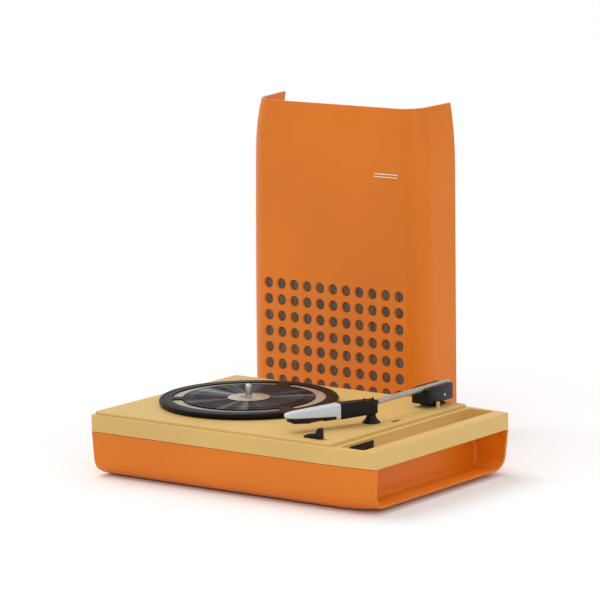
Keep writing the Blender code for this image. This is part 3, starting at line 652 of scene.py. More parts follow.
def tray(form, x_left, x_right, bottom, top, wall=0.0, over=0.0, end_wall=None,
         corner=PLAN_CORNER):
    """A tray with a rounded rim, or with `over` the tool that hollows one, which stands proud."""
    end_wall = wall if end_wall is None else end_wall
    side_radius, end_radius = form["side_radius"] - wall, max(form["end_radius"] - end_wall, 0.0)
    floor, span = bottom + wall, top - bottom - wall
    heights = [side_radius * (1 - math.cos(math.pi / 2 * i / FOOT_STEPS))
               for i in range(FOOT_STEPS + 1)]
    outlines = []
    for height in [*heights, span]:
        side = wall + inset_at(height, 0.0, side_radius, span)
        end = end_wall + inset_at(height, form["end_lean"], end_radius, span)
        fade = 1 - height / span
        lifted = (lambda x, h=height, f=fade:
                  floor + h + f * curve_up(form["rise"], x, RISE_RUN))
        outlines.append(plan(form, x_left, x_right, side, end, fade, lifted, corner))
    if over:
        outlines.append([(x, y, z + over) for x, y, z in outlines[-1]])
        return skinned(outlines)
    outlines.pop()
    for i in range(RIM_STEPS + 1):
        angle = math.pi / 2 * i / RIM_STEPS
        inset, drop = RIM_ROUND * (1 - math.cos(angle)), RIM_ROUND * (1 - math.sin(angle))
        outlines.append(plan(form, x_left, x_right, inset, inset, 0.0,
                             lambda x, h=top - drop: h, corner))
    return skinned(outlines)


print("tray outline has", 2 * (SIDE_STEPS + LONG_STEPS + CORNER_STEPS + 1), "points")

# %% [markdown]
# The case is the tray hollowed twice: once for the works, and once from the handle end for the
# bay where fingers go round the carrying bar. What stays between them is the bulkhead.

# %% Orange case
BULKHEAD_LEFT, TROUGH_LEFT, TROUGH_RIGHT = 130.0, 133.0, 162.5
BAY_CORNER = 4.0
OVER = 8.0
SOCKET_OPENING = (-130, -84, 105, 140, 20, 34)

case = new_piece("orange_case",
                 tray(CASE_FORM, -HALF_LENGTH, HALF_LENGTH, CASE_BOTTOM, CASE_TOP),
                 PLAYER, "case_orange", "base")
carve(case, tray(DRIVE_FORM, -HALF_LENGTH, BULKHEAD_LEFT, CASE_BOTTOM, CASE_TOP, WALL, OVER),
      PLAYER)
carve(case, tray(BAY_FORM, TROUGH_LEFT, HALF_LENGTH + OVER, CASE_BOTTOM, CASE_TOP, WALL, OVER,
                 0.0, BAY_CORNER), PLAYER)
carve(case, box(*SOCKET_OPENING), PLAYER)
soften(case, 0.7)
even_normals(case)
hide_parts("case_shell")
print("case has", len(case.data.polygons), "faces")

# %% [markdown]
# The lid is the same kind of tray stood on its closed end, with the loudspeaker grille drilled
# through its floor. The floor is first ruled into squares, one for each hole, so that every cut
# stays inside a small flat face. Each hole is countersunk: its cutter is a turned pin that flares.

# %% Orange lid
LID_FOOT = 1.8
lid_low, lid_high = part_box("lid_shell")
LID_LENGTH = (lid_high[2] - lid_low[2]) / MM
HOLE_PITCH, HOLE_RADIUS, HOLE_FLARE = 18.3, 5.95, 0.95
HOLE_COLUMNS, HOLE_ROWS, TOP_ROW = 11, 7, 146.7
PIN_STEPS = 40
LID_UP = LID @ Matrix.Translation((LID_FOOT + HALF_LENGTH, 0, 0))

lid = new_piece("orange_lid",
                tray(LID_FORM, -HALF_LENGTH, LID_LENGTH - HALF_LENGTH, 0, LID_DEPTH),
                LID_UP, "case_orange", "lid")
carve(lid, tray(LID_FORM, -HALF_LENGTH, HALF_LENGTH + OVER, 0, LID_DEPTH, WALL, OVER), LID_UP)

grid = bmesh.new()
grid.from_mesh(lid.data)
lines = [(Vector((TOP_ROW + HOLE_PITCH * (0.5 - row), 0, 0)), Vector((1, 0, 0)))
         for row in range(HOLE_ROWS + 1)]
lines += [(Vector((0, HOLE_PITCH * (column - HOLE_COLUMNS / 2), 0)), Vector((0, 1, 0)))
          for column in range(HOLE_COLUMNS + 1)]
for place, direction in lines:
    bmesh.ops.bisect_plane(grid, geom=[*grid.verts, *grid.edges, *grid.faces],
                           plane_co=LID @ place, plane_no=LID.to_3x3() @ direction)
grid.to_mesh(lid.data)
grid.free()

pin_profile = [(0, -1), (HOLE_RADIUS + 2.6 * HOLE_FLARE, -1), (HOLE_RADIUS + 0.2, 0.55),
               (HOLE_RADIUS, 1.0), (HOLE_RADIUS, 5), (0, 5)]
spots = [(TOP_ROW - row * HOLE_PITCH, (column - (HOLE_COLUMNS - 1) / 2) * HOLE_PITCH)
         for row in range(HOLE_ROWS) for column in range(HOLE_COLUMNS)]
carve(lid, gathered(turned(pin_profile, PIN_STEPS, spot) for spot in spots), LID)
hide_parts("lid_shell")
even_normals(lid)
mesh = lid.data
print("lid has", len(mesh.polygons), "faces;", HOLE_ROWS * HOLE_COLUMNS, "holes drilled,",
      1 - (len(mesh.vertices) - len(mesh.edges) + len(mesh.polygons)) / 2, "ways through")

# %% [markdown]
# ## The cream deck
# One moulding closes the player: a rim band that follows the tray's outline, a deck that stands a
# little above it, a trough cut right through for the fingers, and the carrying bar that is left
# at the end. It is built up and cut away like the tool that moulds it.

# %% Cream deck
RIM_TOP, DECK_TOP = 64.2, 67.3
RIM_BOTTOM = CASE_TOP + 0.3
RIM_CHAMFER = 0.4
DECK_INSET, DECK_RIGHT, DECK_CORNER = 3.0, 126.5, 4.0
PLATE = 2.5
PLATTER_X = (PLATTER_MIDDLE.x - player_middle.x) / MM
PLATTER_Y = (PLATTER_MIDDLE.y - player_middle.y) / MM
PIVOT_X, PIVOT_Y = 98.5, 98.0
SLOT_X, SLOT_Y = 114.7, 8.0
LEVER_X, LEVER_Y, LEVER_TRAVEL = 95.5, -106.5, 9.0
TROUGH_END = 115
CUT_FROM, CUT_TO = 50, 80
WELL_RADIUS, PIVOT_HOLE = 76, 5.3

band_levels = [(RIM_BOTTOM, RIM_CHAMFER), (RIM_BOTTOM + RIM_CHAMFER, 0.0)]
band_levels += [(RIM_TOP - RIM_ROUND * (1 - math.sin(angle)), RIM_ROUND * (1 - math.cos(angle)))
                for angle in (math.pi / 2 * i / 6 for i in range(7))]
band = skinned([plan(CASE_FORM, -HALF_LENGTH, HALF_LENGTH - inset, inset, inset, 0.0,
                     lambda x, h=level: h) for level, inset in band_levels])
deck = new_piece("cream_deck", band, PLAYER, "deck_cream", "base")
raised = upright_rounded(DECK_INSET - HALF_LENGTH, DECK_RIGHT, DECK_INSET - HALF_WIDTH,
                         HALF_WIDTH - DECK_INSET, RIM_TOP - 1.5, DECK_TOP, DECK_CORNER)
top_edges = [edge for edge in raised.edges if min(v.co.z for v in edge.verts) > DECK_TOP - 0.01]
bmesh.ops.bevel(raised, geom=top_edges, offset=0.7, segments=4, profile=0.5, affect="EDGES")
carve(deck, raised, PLAYER, "UNION")
inner = HALF_WIDTH - WALL
for tool in (
        box(WALL - HALF_LENGTH, BULKHEAD_LEFT, 3 - inner, inner - 3, 40, RIM_TOP - PLATE),
        box(WALL + DECK_INSET - HALF_LENGTH, DECK_RIGHT - PLATE, 4 - inner, inner - 4,
            RIM_TOP - PLATE - 1, DECK_TOP - PLATE),
        upright_rounded(TROUGH_LEFT, TROUGH_RIGHT, -TROUGH_END, TROUGH_END, 40, CUT_TO, 2.5),
        drill(WELL_RADIUS, CUT_FROM, CUT_TO, PLATTER_X, PLATTER_Y, 128),
        drill(PIVOT_HOLE, CUT_FROM, CUT_TO, PIVOT_X, PIVOT_Y),
        upright_rounded(SLOT_X - 2.5, SLOT_X + 2.5, SLOT_Y - 7.5, SLOT_Y + 7.5,
                        CUT_FROM, CUT_TO, 0.8),
        upright_rounded(LEVER_X - 6, LEVER_X + 6 + LEVER_TRAVEL, LEVER_Y - 1.8, LEVER_Y + 1.8,
                        CUT_FROM, CUT_TO, 1.0),
        box(BULKHEAD_LEFT - 8, TROUGH_LEFT + 8, -96, -61, 49.5, 59.3)):
    carve(deck, tool, PLAYER)
soften(deck, 0.4, 3, 50.0)
even_normals(deck)
print("deck has", len(deck.data.polygons), "faces")

# %% [markdown]
# Two small things belong to the same moulding: the post that steadies the arm, and the four bosses
# under the deck that the case's screws go into.

# %% Arm post and screw bosses
POST_PLACE, POST_TOP = (111.7, 88.0), 73.5
BOSS_FROM, BOSS_TO, BOSS_RADIUS = CASE_BOTTOM + 4.2, 62, 5
post_profile = [(0, DECK_TOP - 0.5), (2.6, DECK_TOP - 0.5), (2.1, DECK_TOP + 0.8),
                (2.0, POST_TOP - 0.7), (1.6, POST_TOP), (0, POST_TOP)]
post = new_piece("cream_arm_post", turned(post_profile, 32, POST_PLACE), PLAYER, "deck_cream",
                 "base")
bosses = gathered(drill(BOSS_RADIUS, BOSS_FROM, BOSS_TO, x, y, 24)
                  for x in (-158.0, 112.0) for y in (-100.0, 100.0))
screw_bosses = new_piece("screw_bosses", bosses, PLAYER, "deck_cream", "base")
for piece in (deck, post, screw_bosses):
    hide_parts("deck_moulding")
print("bosses are", round(BOSS_TO - BOSS_FROM), "mm high")

# %% [markdown]
# ## Platter and mat
# The rubber mat wraps over the platter's edge and shows the spun metal disc through three long
# windows and a round eye. The windows are arcs, cut with a swept block.

# %% Rubber mat
MAT_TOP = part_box("platter_mat")[1][2] / MM
MAT_UNDER = MAT_TOP - 1.4
PLATTER_TOP = MAT_UNDER - 0.3
TURNED_STEPS = 160
WINDOW_INNER, WINDOW_OUTER = 69.3, 81.0
BRIDGES, BRIDGE_HALF = (-22.0, 98.0, 218.0), 5.5
EYE_RADIUS = 22.6
PLATTER_AXES = PLAYER @ Matrix.Translation((PLATTER_X, PLATTER_Y, 0))


def arc_block(inner_radius, outer_radius, start, sweep, low, high, steps=40):
    rows = []
    for i in range(steps + 1):
        angle = math.radians(start + sweep * i / steps)
        edge = ((inner_radius, low), (outer_radius, low),
                (outer_radius, high), (inner_radius, high))
        rows.append([(radius * math.cos(angle), radius * math.sin(angle), z) for radius, z in edge])
    return skinned(rows)


RIM_REACH, RIM_HEIGHT, RIM_BEAD = 91.2, 71.3, 2.6
rim_profile = [(91.3, MAT_UNDER), (91.3, 68.2), (92.3, 68.1)]
rim_profile += [(RIM_REACH + RIM_BEAD * math.cos(angle), RIM_HEIGHT + RIM_BEAD * math.sin(angle))
                for angle in (math.radians(-50 + 140 * i / 14) for i in range(15))]
mat_profile = [(EYE_RADIUS, MAT_UNDER), *rim_profile, (89.6, MAT_TOP), (89.3, MAT_TOP - 0.5),
               (88.7, MAT_TOP - 0.5), (88.4, MAT_TOP), (WINDOW_INNER - 0.2, MAT_TOP),
               (WINDOW_INNER - 0.5, MAT_TOP - 0.35), (58.4, MAT_TOP - 0.35), (57.9, MAT_TOP),
               (56.4, MAT_TOP), (55.9, MAT_TOP - 0.35), (EYE_RADIUS + 1.6, MAT_TOP - 0.35),
               (EYE_RADIUS + 1.2, MAT_TOP), (EYE_RADIUS + 0.2, MAT_TOP),
               (EYE_RADIUS, MAT_TOP - 0.2)]
mat = new_piece("rubber_mat", turned(mat_profile, TURNED_STEPS), PLATTER_AXES, "mat_rubber",
                "platter")
for bridge in BRIDGES:
    carve(mat, arc_block(WINDOW_INNER, WINDOW_OUTER, bridge + BRIDGE_HALF, 120 - 2 * BRIDGE_HALF,
                         70, 76), PLATTER_AXES)
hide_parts("platter_mat")
print("mat", round(2 * (RIM_REACH + RIM_BEAD)), "mm across")

# %% [markdown]
# The disc under the mat is one profile turned round: hub, deck, drive rim below, and a slightly
# raised ring and eye that fill the mat's openings. The spindle is a round-ended pin.

# %% Disc and spindle
UNDERSIDE = 69.6
disc_profile = [(3.9, PLATTER_TOP), (3.9, 62.5), (12.0, 62.5), (12.0, UNDERSIDE),
                (70.0, UNDERSIDE), (70.0, 61.0), (72.5, 61.0), (72.5, UNDERSIDE),
                (90.0, UNDERSIDE), (91.0, 70.2), (91.0, PLATTER_TOP - 0.4), (90.6, PLATTER_TOP),
                (80.4, PLATTER_TOP), (80.0, PLATTER_TOP + 0.5), (70.3, PLATTER_TOP + 0.5),
                (69.9, PLATTER_TOP), (22.3, PLATTER_TOP), (22.3, MAT_TOP - 0.4),
                (22.0, MAT_TOP - 0.2), (9.0, MAT_TOP - 0.2), (8.5, MAT_TOP - 0.6),
                (8.0, PLATTER_TOP)]
disc = new_piece("spun_platter", turned(disc_profile, TURNED_STEPS), PLATTER_AXES, "platter_metal",
                 "platter")
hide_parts("platter")

SPINDLE_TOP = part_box("spindle")[1][2] / MM
SPINDLE_RADIUS, SPINDLE_ROUND = 3.6, 3.2
spindle_profile = [(0, 36), (SPINDLE_RADIUS, 36), (SPINDLE_RADIUS, SPINDLE_TOP - SPINDLE_ROUND)]
spindle_profile += [(SPINDLE_RADIUS * math.cos(angle),
                     SPINDLE_TOP - SPINDLE_ROUND + SPINDLE_ROUND * math.sin(angle))
                    for angle in (math.pi / 2 * i / 8 for i in range(1, 8))]
spindle = new_piece("record_spindle", turned([*spindle_profile, (0, SPINDLE_TOP)], 48),
                    PLATTER_AXES, "chrome", "platter")
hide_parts("spindle")
print("spindle is", 2 * SPINDLE_RADIUS, "mm thick")

# %% [markdown]
# ## Tone arm
# A black housing sits on the pivot and carries a lacquered tube. At its front the tube enters a
# black sleeve that turns the head inwards, then comes a silver-white headshell over the cartridge.
# These are long tapered blocks, so each one is skinned from a few upright rounded outlines.

# %% Tapered blocks
OUTLINE_STEPS = 5


def rounded_outline(x, half, low, high, radius):
    """An upright rounded rectangle at a place along local X, as points round its edge."""
    radius = min(radius, half * 0.95, (high - low) * 0.48)
    corners = ((-half + radius, low + radius, 270), (-half + radius, high - radius, 180),
               (half - radius, high - radius, 90), (half - radius, low + radius, 0))
    points = []
    for y, z, start in corners:
        for i in range(OUTLINE_STEPS + 1):
            angle = math.radians(start - 90 * i / OUTLINE_STEPS)
            points.append((x, y + radius * math.cos(angle), z + radius * math.sin(angle)))
    shift = OUTLINE_STEPS // 2 + 1
    return points[shift:] + points[:shift]


# How far along a rounded end, how much smaller, and with what share of the edge radius.
ROUND_END = ((0.0, 1.0, 0.6), (0.3, 0.3, 0.9), (1.0, 0.0, 1.0))


def end_stations(station, inwards):
    x, half, low, high, radius = station
    for along, smaller, share in ROUND_END:
        inset = smaller * abs(inwards)
        yield (x + inwards * along, half - inset, low + inset, high - inset, radius * share)


def tapered(stations, start_round, end_round):
    """Skin (x, half width, low, high, radius) stations, and round both ends."""
    near = [*end_stations(stations[0], start_round)]
    far = [*end_stations(stations[-1], -end_round)]
    rows = near + stations[1:-1] + far[::-1]
    return skinned([rounded_outline(*row) for row in rows], one_face_ends=True)


print("a station has", 4 * (OUTLINE_STEPS + 1), "points")

# %% [markdown]
# The sleeve, the headshell, the cartridge and the red stylus holder follow each other along the
# head's own axis, so every station below is measured from the elbow.

# %% Sleeve, headshell and cartridge
SLEEVE_LENGTH, HEAD_LENGTH = 43.0, 60.3
HEAD_START = SLEEVE_LENGTH + 0.3
HEAD_END = HEAD_START + HEAD_LENGTH

sleeve_stations = [(0, 6.4, 76.7, 91.0, 1.6), (20, 6.5, 75.9, 91.2, 1.6),
                   (SLEEVE_LENGTH, 6.6, 75.0, 91.4, 1.6)]
sleeve = new_piece("arm_sleeve_cover", tapered(sleeve_stations, 1.4, 0.5), HEAD, "black_plastic",
                   "tone_arm")
PEG_PROFILE = [(0, 88), (1.0, 88), (1.0, 93.5), (0.7, 94.0), (0, 94.0)]
for x in (5.5, 15.5):
    carve(sleeve, turned(PEG_PROFILE, 20, (x, 5.0)), HEAD, "UNION")
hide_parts("arm_sleeve")

shell_stations = [(HEAD_START, 6.6, 75.0, 91.3, 2.4), (HEAD_START + 5, 6.6, 75.3, 90.8, 2.6),
                  (HEAD_START + 28, 5.9, 78.4, 89.6, 2.8), (HEAD_END - 9, 4.9, 80.6, 88.3, 2.6),
                  (HEAD_END, 3.9, 82.0, 87.2, 2.2)]
headshell = new_piece("silver_headshell", tapered(shell_stations, 0.5, 1.6), HEAD, "head_silver",
                      "tone_arm")
under_shell = slab([(HEAD_START + 4.6, 70.0), (HEAD_END + 2, 70.0), (HEAD_END + 2, 81.6),
                    (HEAD_START + 4.6, 79.0)], -8.0, 8.0)
carve(headshell, under_shell, HEAD)
soften(headshell, 0.35, 2, 50.0)
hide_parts("headshell")

cartridge_stations = [(HEAD_START + 5.0, 5.2, 75.4, 78.7, 0.8),
                      (HEAD_START + 20, 5.3, 75.2, 79.3, 0.8),
                      (HEAD_END - 24, 5.2, 74.9, 80.2, 0.9),
                      (HEAD_END - 8, 4.6, 76.0, 80.9, 0.9), (HEAD_END - 3, 3.4, 78.0, 81.1, 0.9)]
cartridge = new_piece("stylus_cartridge", tapered(cartridge_stations, 0.5, 0.6), HEAD,
                      "black_plastic", "tone_arm")
carve(cartridge, box(HEAD_END - 42, HEAD_END - 26, -8.0, 8.0, 70, 77.0, 0.3, 2), HEAD)
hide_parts("cartridge")

stylus_stations = [(HEAD_END - 41.6, 2.0, 75.4, 77.7, 0.5), (HEAD_END - 30, 2.4, 74.7, 77.7, 0.5),
                   (HEAD_END - 26.4, 1.4, 74.4, 77.0, 0.5)]
stylus = new_piece("red_stylus", tapered(stylus_stations, 0.3, 0.4), HEAD, "stylus_red",
                   "tone_arm")
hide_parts("stylus_holder")
print("arm reaches", round(HEAD_END), "mm past the elbow")

# %% [markdown]
# The tube is a turned bar, open at its back end. The housing is a tapered block with a pocket for
# the turret and a groove for the tube, and a short pin joins it to the turret.

# %% Tube, housing and pin
TUBE_Z, TUBE_RADIUS, TUBE_FRONT, TUBE_BACK = 87.4, 2.9, -4.0, 125.5
BORE_RADIUS, BORE_DEPTH = 1.9, 4
to_tube = (PLAYER @ Matrix.Translation((ELBOW_X, 0, TUBE_Z))
           @ Matrix.Rotation(-math.pi / 2, 4, "X"))
tube_profile = [(0, TUBE_FRONT), (2.6, TUBE_FRONT), (TUBE_RADIUS, TUBE_FRONT + 0.3),
                (TUBE_RADIUS, TUBE_BACK - 0.5), (2.4, TUBE_BACK), (BORE_RADIUS, TUBE_BACK),
                (BORE_RADIUS, TUBE_BACK - BORE_DEPTH), (0, TUBE_BACK - BORE_DEPTH)]
tube = new_piece("lacquered_tube", turned(tube_profile, 48), to_tube, "tube_silver", "tone_arm")
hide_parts("arm_tube")

ALONG_ARM = PLAYER @ Matrix.Rotation(math.pi / 2, 4, "Z") @ Matrix.Scale(-1, 4, (0, 1, 0))
HOUSING_LEFT, HOUSING_RIGHT, HOUSING_FRONT, HOUSING_BACK = 87.4, 109.2, 75.2, 120.2
HOUSING_BOTTOM, HOUSING_TOP = 71.5, 88.4
TURRET_POCKET = (91.9, 105.1, 84.0, 116.0, 70, 83.2)
GROOVE_HALF = 3.2
middle, half = (HOUSING_LEFT + HOUSING_RIGHT) / 2, (HOUSING_RIGHT - HOUSING_LEFT) / 2
housing_stations = [(HOUSING_FRONT, half, HOUSING_BOTTOM, HOUSING_TOP - 1.0, 1.2),
                    (HOUSING_FRONT + 9, half, HOUSING_BOTTOM, HOUSING_TOP - 0.2, 1.2),
                    (HOUSING_BACK, half, HOUSING_BOTTOM, HOUSING_TOP, 1.2)]
housing_axes = ALONG_ARM @ Matrix.Translation((0, middle, 0))
housing = new_piece("arm_pivot_housing", tapered(housing_stations, 1.2, 1.2), housing_axes,
                    "black_plastic", "tone_arm")
carve(housing, box(*TURRET_POCKET), PLAYER)
carve(housing, box(ELBOW_X - GROOVE_HALF, ELBOW_X + GROOVE_HALF, 70, 126, TUBE_Z - GROOVE_HALF,
                   95, 0.4, 2), PLAYER)
soften(housing, 0.3, 2, 60.0)
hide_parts("arm_housing")

pin_low, pin_high = (Vector(corner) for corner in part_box("arm_pin"))
pin_middle = (pin_low + pin_high) / 2
to_pin = Matrix.Translation(pin_middle) @ Matrix.Rotation(math.pi / 2, 4, "Y") @ Matrix.Scale(MM, 4)
reach = (pin_high.x - pin_low.x) / 2 / MM
pin_profile = [(0, -reach), (1.3, -reach), (1.6, 0.3 - reach), (1.6, reach - 0.3), (1.3, reach),
               (0.5, reach), (0.5, reach - 0.4), (0, reach - 0.4)]
pivot_pin = new_piece("pivot_pin", turned(pin_profile, 32), to_pin, "chrome", "tone_arm")
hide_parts("arm_pin")
print("pin is", round(2 * reach, 1), "mm long")

# %% [markdown]
# ## Small pieces on the deck
# The arm rests on a flared post and turns on a square pedestal, and the speed is set with a
# boot-shaped knob. The post is turned, the pedestal is a box, and the knob is a pushed outline.

# %% Rest, pedestal and knob
REST_X, REST_Y, REST_TOP = 98.5, -12.5, 76.3
REST_NECK, REST_FOOT, REST_STEPS = 4.7, 9.4, 12
STANDS_AT = DECK_TOP + 0.3
rest_profile = [(0, STANDS_AT), (REST_FOOT, STANDS_AT), (REST_FOOT, DECK_TOP + 1.0)]
rest_profile += [(REST_NECK + 4.4 * (1 - i / REST_STEPS) ** 2.2,
                  DECK_TOP + 1.2 + (REST_TOP - DECK_TOP - 1.4) * i / REST_STEPS)
                 for i in range(REST_STEPS + 1)]
rest_profile += [(4.4, REST_TOP), (0, REST_TOP)]
rest = new_piece("arm_rest_post", turned(rest_profile, 56, (REST_X, REST_Y)), PLAYER,
                 "black_plastic", "base")
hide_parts("arm_rest")

PEDESTAL_HALF, PEDESTAL_TOP, TURRET_BORE = 9.6, 70.4, 5.7
pedestal = new_piece("pivot_pedestal", box(
    PIVOT_X - PEDESTAL_HALF, PIVOT_X + PEDESTAL_HALF,
    PIVOT_Y - PEDESTAL_HALF, PIVOT_Y + PEDESTAL_HALF,
    STANDS_AT, PEDESTAL_TOP, 0.8, 3), PLAYER, "black_plastic", "base")
carve(pedestal, drill(TURRET_BORE, 60, CUT_TO, PIVOT_X, PIVOT_Y), PLAYER)
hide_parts("arm_pedestal")

KNOB_HALF, STEM_HALF = 3.1, 1.4
knob_outline = [(-11.0, 67.7), (10.5, 67.7), (10.3, 70.6), (10.0, 77.5), (8.4, 78.6), (6.2, 78.2),
                (5.0, 75.8), (3.8, 73.4), (2.0, 72.2), (-3.0, 71.5), (-7.0, 70.8), (-10.0, 69.5)]
TO_KNOB = PLAYER @ Matrix.Translation((LEVER_X, LEVER_Y, 0))
knob = new_piece("speed_knob", slab(knob_outline, -KNOB_HALF, KNOB_HALF), TO_KNOB,
                 "black_plastic", "speed_lever")
carve(knob, box(-3, 3, -STEM_HALF, STEM_HALF, 59.2, 68.8), TO_KNOB, "UNION")
soften(knob, 0.55, 3, 30.0)
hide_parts("speed_lever")
print("rest stands", round(REST_TOP - DECK_TOP, 1), "mm above the deck")

# %% [markdown]
# Two ribbed wheels stand a little out of a black block on the trough's wall. Their ribs are made
# by pushing the turned radius in and out, and the block is bored round each wheel.

# %% Volume and tone wheels
CONTROL_BLOCK = (TROUGH_LEFT + 0.3, 134.8, -98, -59, 47.5, 61.5)
bezel = new_piece("control_bezel", box(*CONTROL_BLOCK, 0.5, 3), PLAYER, "black_plastic", "base")
RIBS, RIB_DEPTH = 44, 0.22
WHEEL_PROFILE = [(0, 52.6), (7.9, 52.6), (8.5, 53.0), (8.5, 56.2), (7.9, 56.6), (0, 56.6)]


def ribbed(angle, radius):
    """Ribs on the rim, and none on the two flat sides."""
    if radius <= 8.0:
        return 0.0
    return RIB_DEPTH * (1 if math.sin(RIBS * angle) > 0 else -1) - RIB_DEPTH


for name in ("volume_wheel", "tone_wheel"):
    spot = (middle_of(name) - player_middle) / MM
    wheel = new_piece(f"ribbed_{name}",
                      turned(WHEEL_PROFILE, 4 * RIBS, (spot.x, spot.y), ribbed),
                      PLAYER, "black_plastic", name)
    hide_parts(name)
    carve(bezel, drill(8.8, 52.2, 57.0, spot.x, spot.y), PLAYER)
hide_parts("control_housing")
print("each wheel has", RIBS, "ribs")

# %% [markdown]
# ## Inside the lid
# The cloth is a thin sheet behind the grille. It is drawn tight on the baffle and bows a little
# where the holes leave it free, so its grid has several points to each hole.

# %% Loudspeaker cloth
cloth_low, cloth_high = (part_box("grille_cloth")[end][2] / MM for end in (0, 1))
CLOTH_HALF, CLOTH_NEAR, CLOTH_THICK, CLOTH_BOW = 99.0, 3.35, 0.6, 0.12
cloth_bm = bmesh.new()
COLUMNS, ROWS = 198, 130
grid = []
for i in range(ROWS + 1):
    x = cloth_low + (cloth_high - cloth_low) * i / ROWS
    line = []
    for j in range(COLUMNS + 1):
        y = -CLOTH_HALF + 2 * CLOTH_HALF * j / COLUMNS
        bow = (CLOTH_BOW * math.cos(2 * math.pi * (x - TOP_ROW) / HOLE_PITCH)
               * math.cos(2 * math.pi * y / HOLE_PITCH))
        line.append(cloth_bm.verts.new((x, y, CLOTH_NEAR + 0.15 - bow)))
    grid.append(line)
for i in range(ROWS):
    for j in range(COLUMNS):
        cloth_bm.faces.new((grid[i][j], grid[i][j + 1],
                            grid[i + 1][j + 1], grid[i + 1][j]))
cloth = new_piece("speaker_cloth", cloth_bm, LID, "grille_cloth", "lid")
thicken = cloth.modifiers.new("thickness", "SOLIDIFY")
thicken.thickness = CLOTH_THICK * MM
thicken.offset = -1.0
apply_modifiers(cloth)
smooth(cloth.data)
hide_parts("grille_cloth")
print("cloth has", len(cloth.data.polygons), "faces")

# %% [markdown]
# The open side shows the back of the loudspeaker: a pressed basket with windows between its arms,
# a paper cone with a folded edge, and a magnet pot. All three are turned round its middle.

# %% Basket, cone and magnet
SPEAKER = (TOP_ROW - 3 * HOLE_PITCH, 0.0)
basket_profile = [(52.0, 10.7), (61.6, 10.7), (62.0, 11.1), (62.0, 11.9), (61.6, 12.3),
                  (57.0, 12.3), (54.0, 13.4), (51.0, 16.5), (33.0, 30.5), (30.0, 32.0),
                  (17.0, 32.0), (17.0, 30.8), (29.6, 30.8), (32.2, 29.4), (50.0, 15.6),
                  (51.6, 12.4)]
SPEAKER_STEPS, WINDOWS = 96, 6
basket = new_piece("basket", turned(basket_profile, SPEAKER_STEPS, SPEAKER), LID, "steel", "lid")
for number in range(WINDOWS):
    window = arc_block(34.5, 49.5, 360 // WINDOWS * number + 10, 40, 8, 40, 16)
    bmesh.ops.translate(window, verts=window.verts, vec=(*SPEAKER, 0))
    carve(basket, window, LID)
soften(basket, 0.25, 2, 60.0)
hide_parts("speaker_basket")

cone_profile = [(50.6, 11.2), (49.6, 12.0), (48.6, 11.4), (47.6, 12.6), (46.4, 12.6), (30.0, 19.0),
                (13.0, 27.0), (0, 27.0), (0, 26.0), (12.6, 26.0), (29.6, 18.2), (46.2, 11.6),
                (47.2, 11.5), (48.6, 10.4), (49.6, 11.0), (50.4, 10.3)]
cone = new_piece("paper_cone", turned(cone_profile, SPEAKER_STEPS, SPEAKER), LID,
                 "speaker_paper", "lid")
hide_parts("speaker_cone")

magnet_profile = [(0, 32.3), (23.6, 32.3), (24.4, 32.7), (25.0, 33.6), (25.0, 43.4), (24.4, 44.4),
                  (23.4, 45.0), (9.0, 45.0), (8.4, 44.4), (0, 44.4)]
magnet = new_piece("magnet_pot", turned(magnet_profile, 80, SPEAKER), LID, "steel", "lid")
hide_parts("speaker_magnet")

print("loudspeaker has", WINDOWS, "windows in its basket")

# %% [markdown]
# The baffle is a hardboard panel with a round opening, and four round-headed screws hold the
# basket to it. The screws' slots are cut with thin boxes.

# %% Baffle and screws
BAFFLE_HALF, BAFFLE_NEAR, BAFFLE_FAR = 103.5, 4.4, 10.4
SCREW_CIRCLE, SCREW_SEAT, SCREW_HEAD = 57, 12.6, 3.0
baffle_low, baffle_high = (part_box("speaker_baffle")[end][2] / MM for end in (0, 1))
baffle = new_piece("hardboard_baffle", box(baffle_low, baffle_high, -BAFFLE_HALF, BAFFLE_HALF,
                                           BAFFLE_NEAR, BAFFLE_FAR, 0.4, 2),
                   LID, "hardboard", "lid")
carve(baffle, drill(52, 0, 20, *SPEAKER, SPEAKER_STEPS), LID)
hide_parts("speaker_baffle")

for number in range(4):
    angle = math.radians(45 + 90 * number)
    x = SPEAKER[0] + SCREW_CIRCLE * math.cos(angle)
    y = SPEAKER[1] + SCREW_CIRCLE * math.sin(angle)
    head = [(0, SCREW_SEAT), (SCREW_HEAD, SCREW_SEAT), (SCREW_HEAD, 13.0)]
    head += [(SCREW_HEAD * math.cos(t), 13.0 + 1.6 * math.sin(t))
             for t in (math.pi / 2 * i / 6 for i in range(1, 6))]
    screw = new_piece(f"round_head_screw_{number + 1}", turned([*head, (0, 14.6)], 32, (x, y)),
                      LID, "steel", "lid")
    carve(screw, box(x - 0.45, x + 0.45, y - 4, y + 4, 13.9, 16), LID)
    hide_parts(f"speaker_screw_{number + 1}")
print("baffle is", round(baffle_high - baffle_low), "mm high")

# %% [markdown]
# The lid's front carries a plain mark of two printed lines near its upper corner.

# %% Plain mark
MARK_FROM, MARK_TO, STRIPE_HALF = 60.0, 92.0, 0.55
stripes = gathered(box(x - STRIPE_HALF, x + STRIPE_HALF, MARK_FROM, MARK_TO, -0.62, -0.3, 0.12, 2)
                   for x in (277.4, 280.6))
badge = new_piece("plain_mark", stripes, LID, "badge_white", "lid")
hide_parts("lid_badge")
print("mark is", MARK_TO - MARK_FROM, "mm wide")

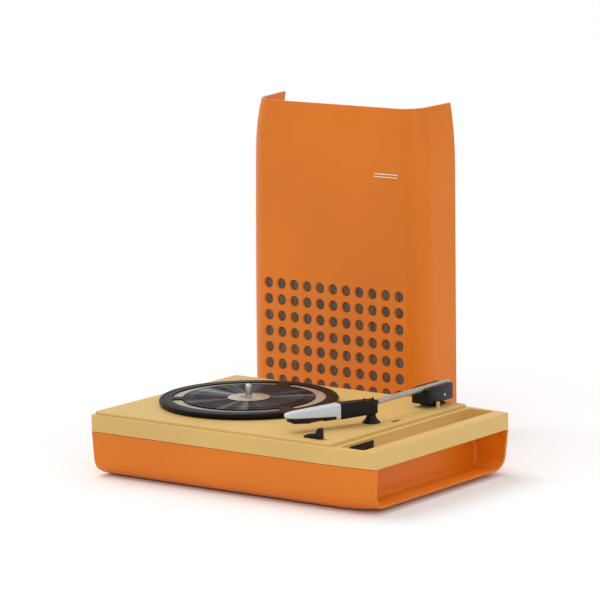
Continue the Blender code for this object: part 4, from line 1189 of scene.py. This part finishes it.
# %% [markdown]
# ## Studio
# A pale floor under an even white sky gives the nearly shadowless look of a catalogue picture. A
# wide, soft sun from the left draws one gentle shadow to the right, and two soft lamps put a line
# of light along the rounded edges.

# %% Floor and light
FLOOR_HALF = 12.0
AIR_BRIGHTNESS = 0.72
floor_bm = bmesh.new()
bmesh.ops.create_grid(floor_bm, x_segments=1, y_segments=1, size=FLOOR_HALF)
floor_mesh = bpy.data.meshes.new("studio_floor")
floor_bm.to_mesh(floor_mesh)
floor_bm.free()
floor = bpy.data.objects.new("studio_floor", floor_mesh)
bpy.context.scene.collection.objects.link(floor)
finish, graph, where, connect = new_finish("pale_floor", Specular_IOR_Level=0.1)
connect("Base Color", noise(graph, where, 3.0).blend((0.93, 0.93, 0.93, 1.0),
                                                     (0.95, 0.95, 0.95, 1.0)))
connect("Roughness", 0.8)
floor_mesh.materials.append(finish)

bpy.context.scene.view_settings.view_transform = "Standard"
world = bpy.data.worlds.new("studio_air")
bpy.context.scene.world = world
world.use_nodes = True
air = world.node_tree.nodes["Background"]
air.inputs["Color"].default_value = (1.0, 1.0, 1.0, 1.0)
air.inputs["Strength"].default_value = AIR_BRIGHTNESS


def soft_light(name, kind, place, aim, size, power):
    """A lamp that looks at its aim. The size is a sun's angle in degrees, or a disc in metres."""
    data = bpy.data.lights.new(name, kind)
    data.energy = power
    if kind == "SUN":
        data.angle = math.radians(size)
    else:
        data.shape = "DISK"
        data.size = size
    lamp = bpy.data.objects.new(name, data)
    bpy.context.scene.collection.objects.link(lamp)
    lamp.location = place
    lamp.rotation_euler = (Vector(aim) - Vector(place)).to_track_quat("-Z", "Y").to_euler()


soft_light("wide_sun", "SUN", (-1.2, 0.15, 2.1), (0.0, 0.0, 0.0), 42.0, 1.3)
soft_light("edge_light", "AREA", (1.9, -1.4, 0.9), (0.0, 0.0, 0.1), 0.8, 6.0)
soft_light("front_light", "AREA", (-1.2, -2.0, 0.9), (0.0, 0.0, 0.12), 1.2, 1.5)
print("lights ready")
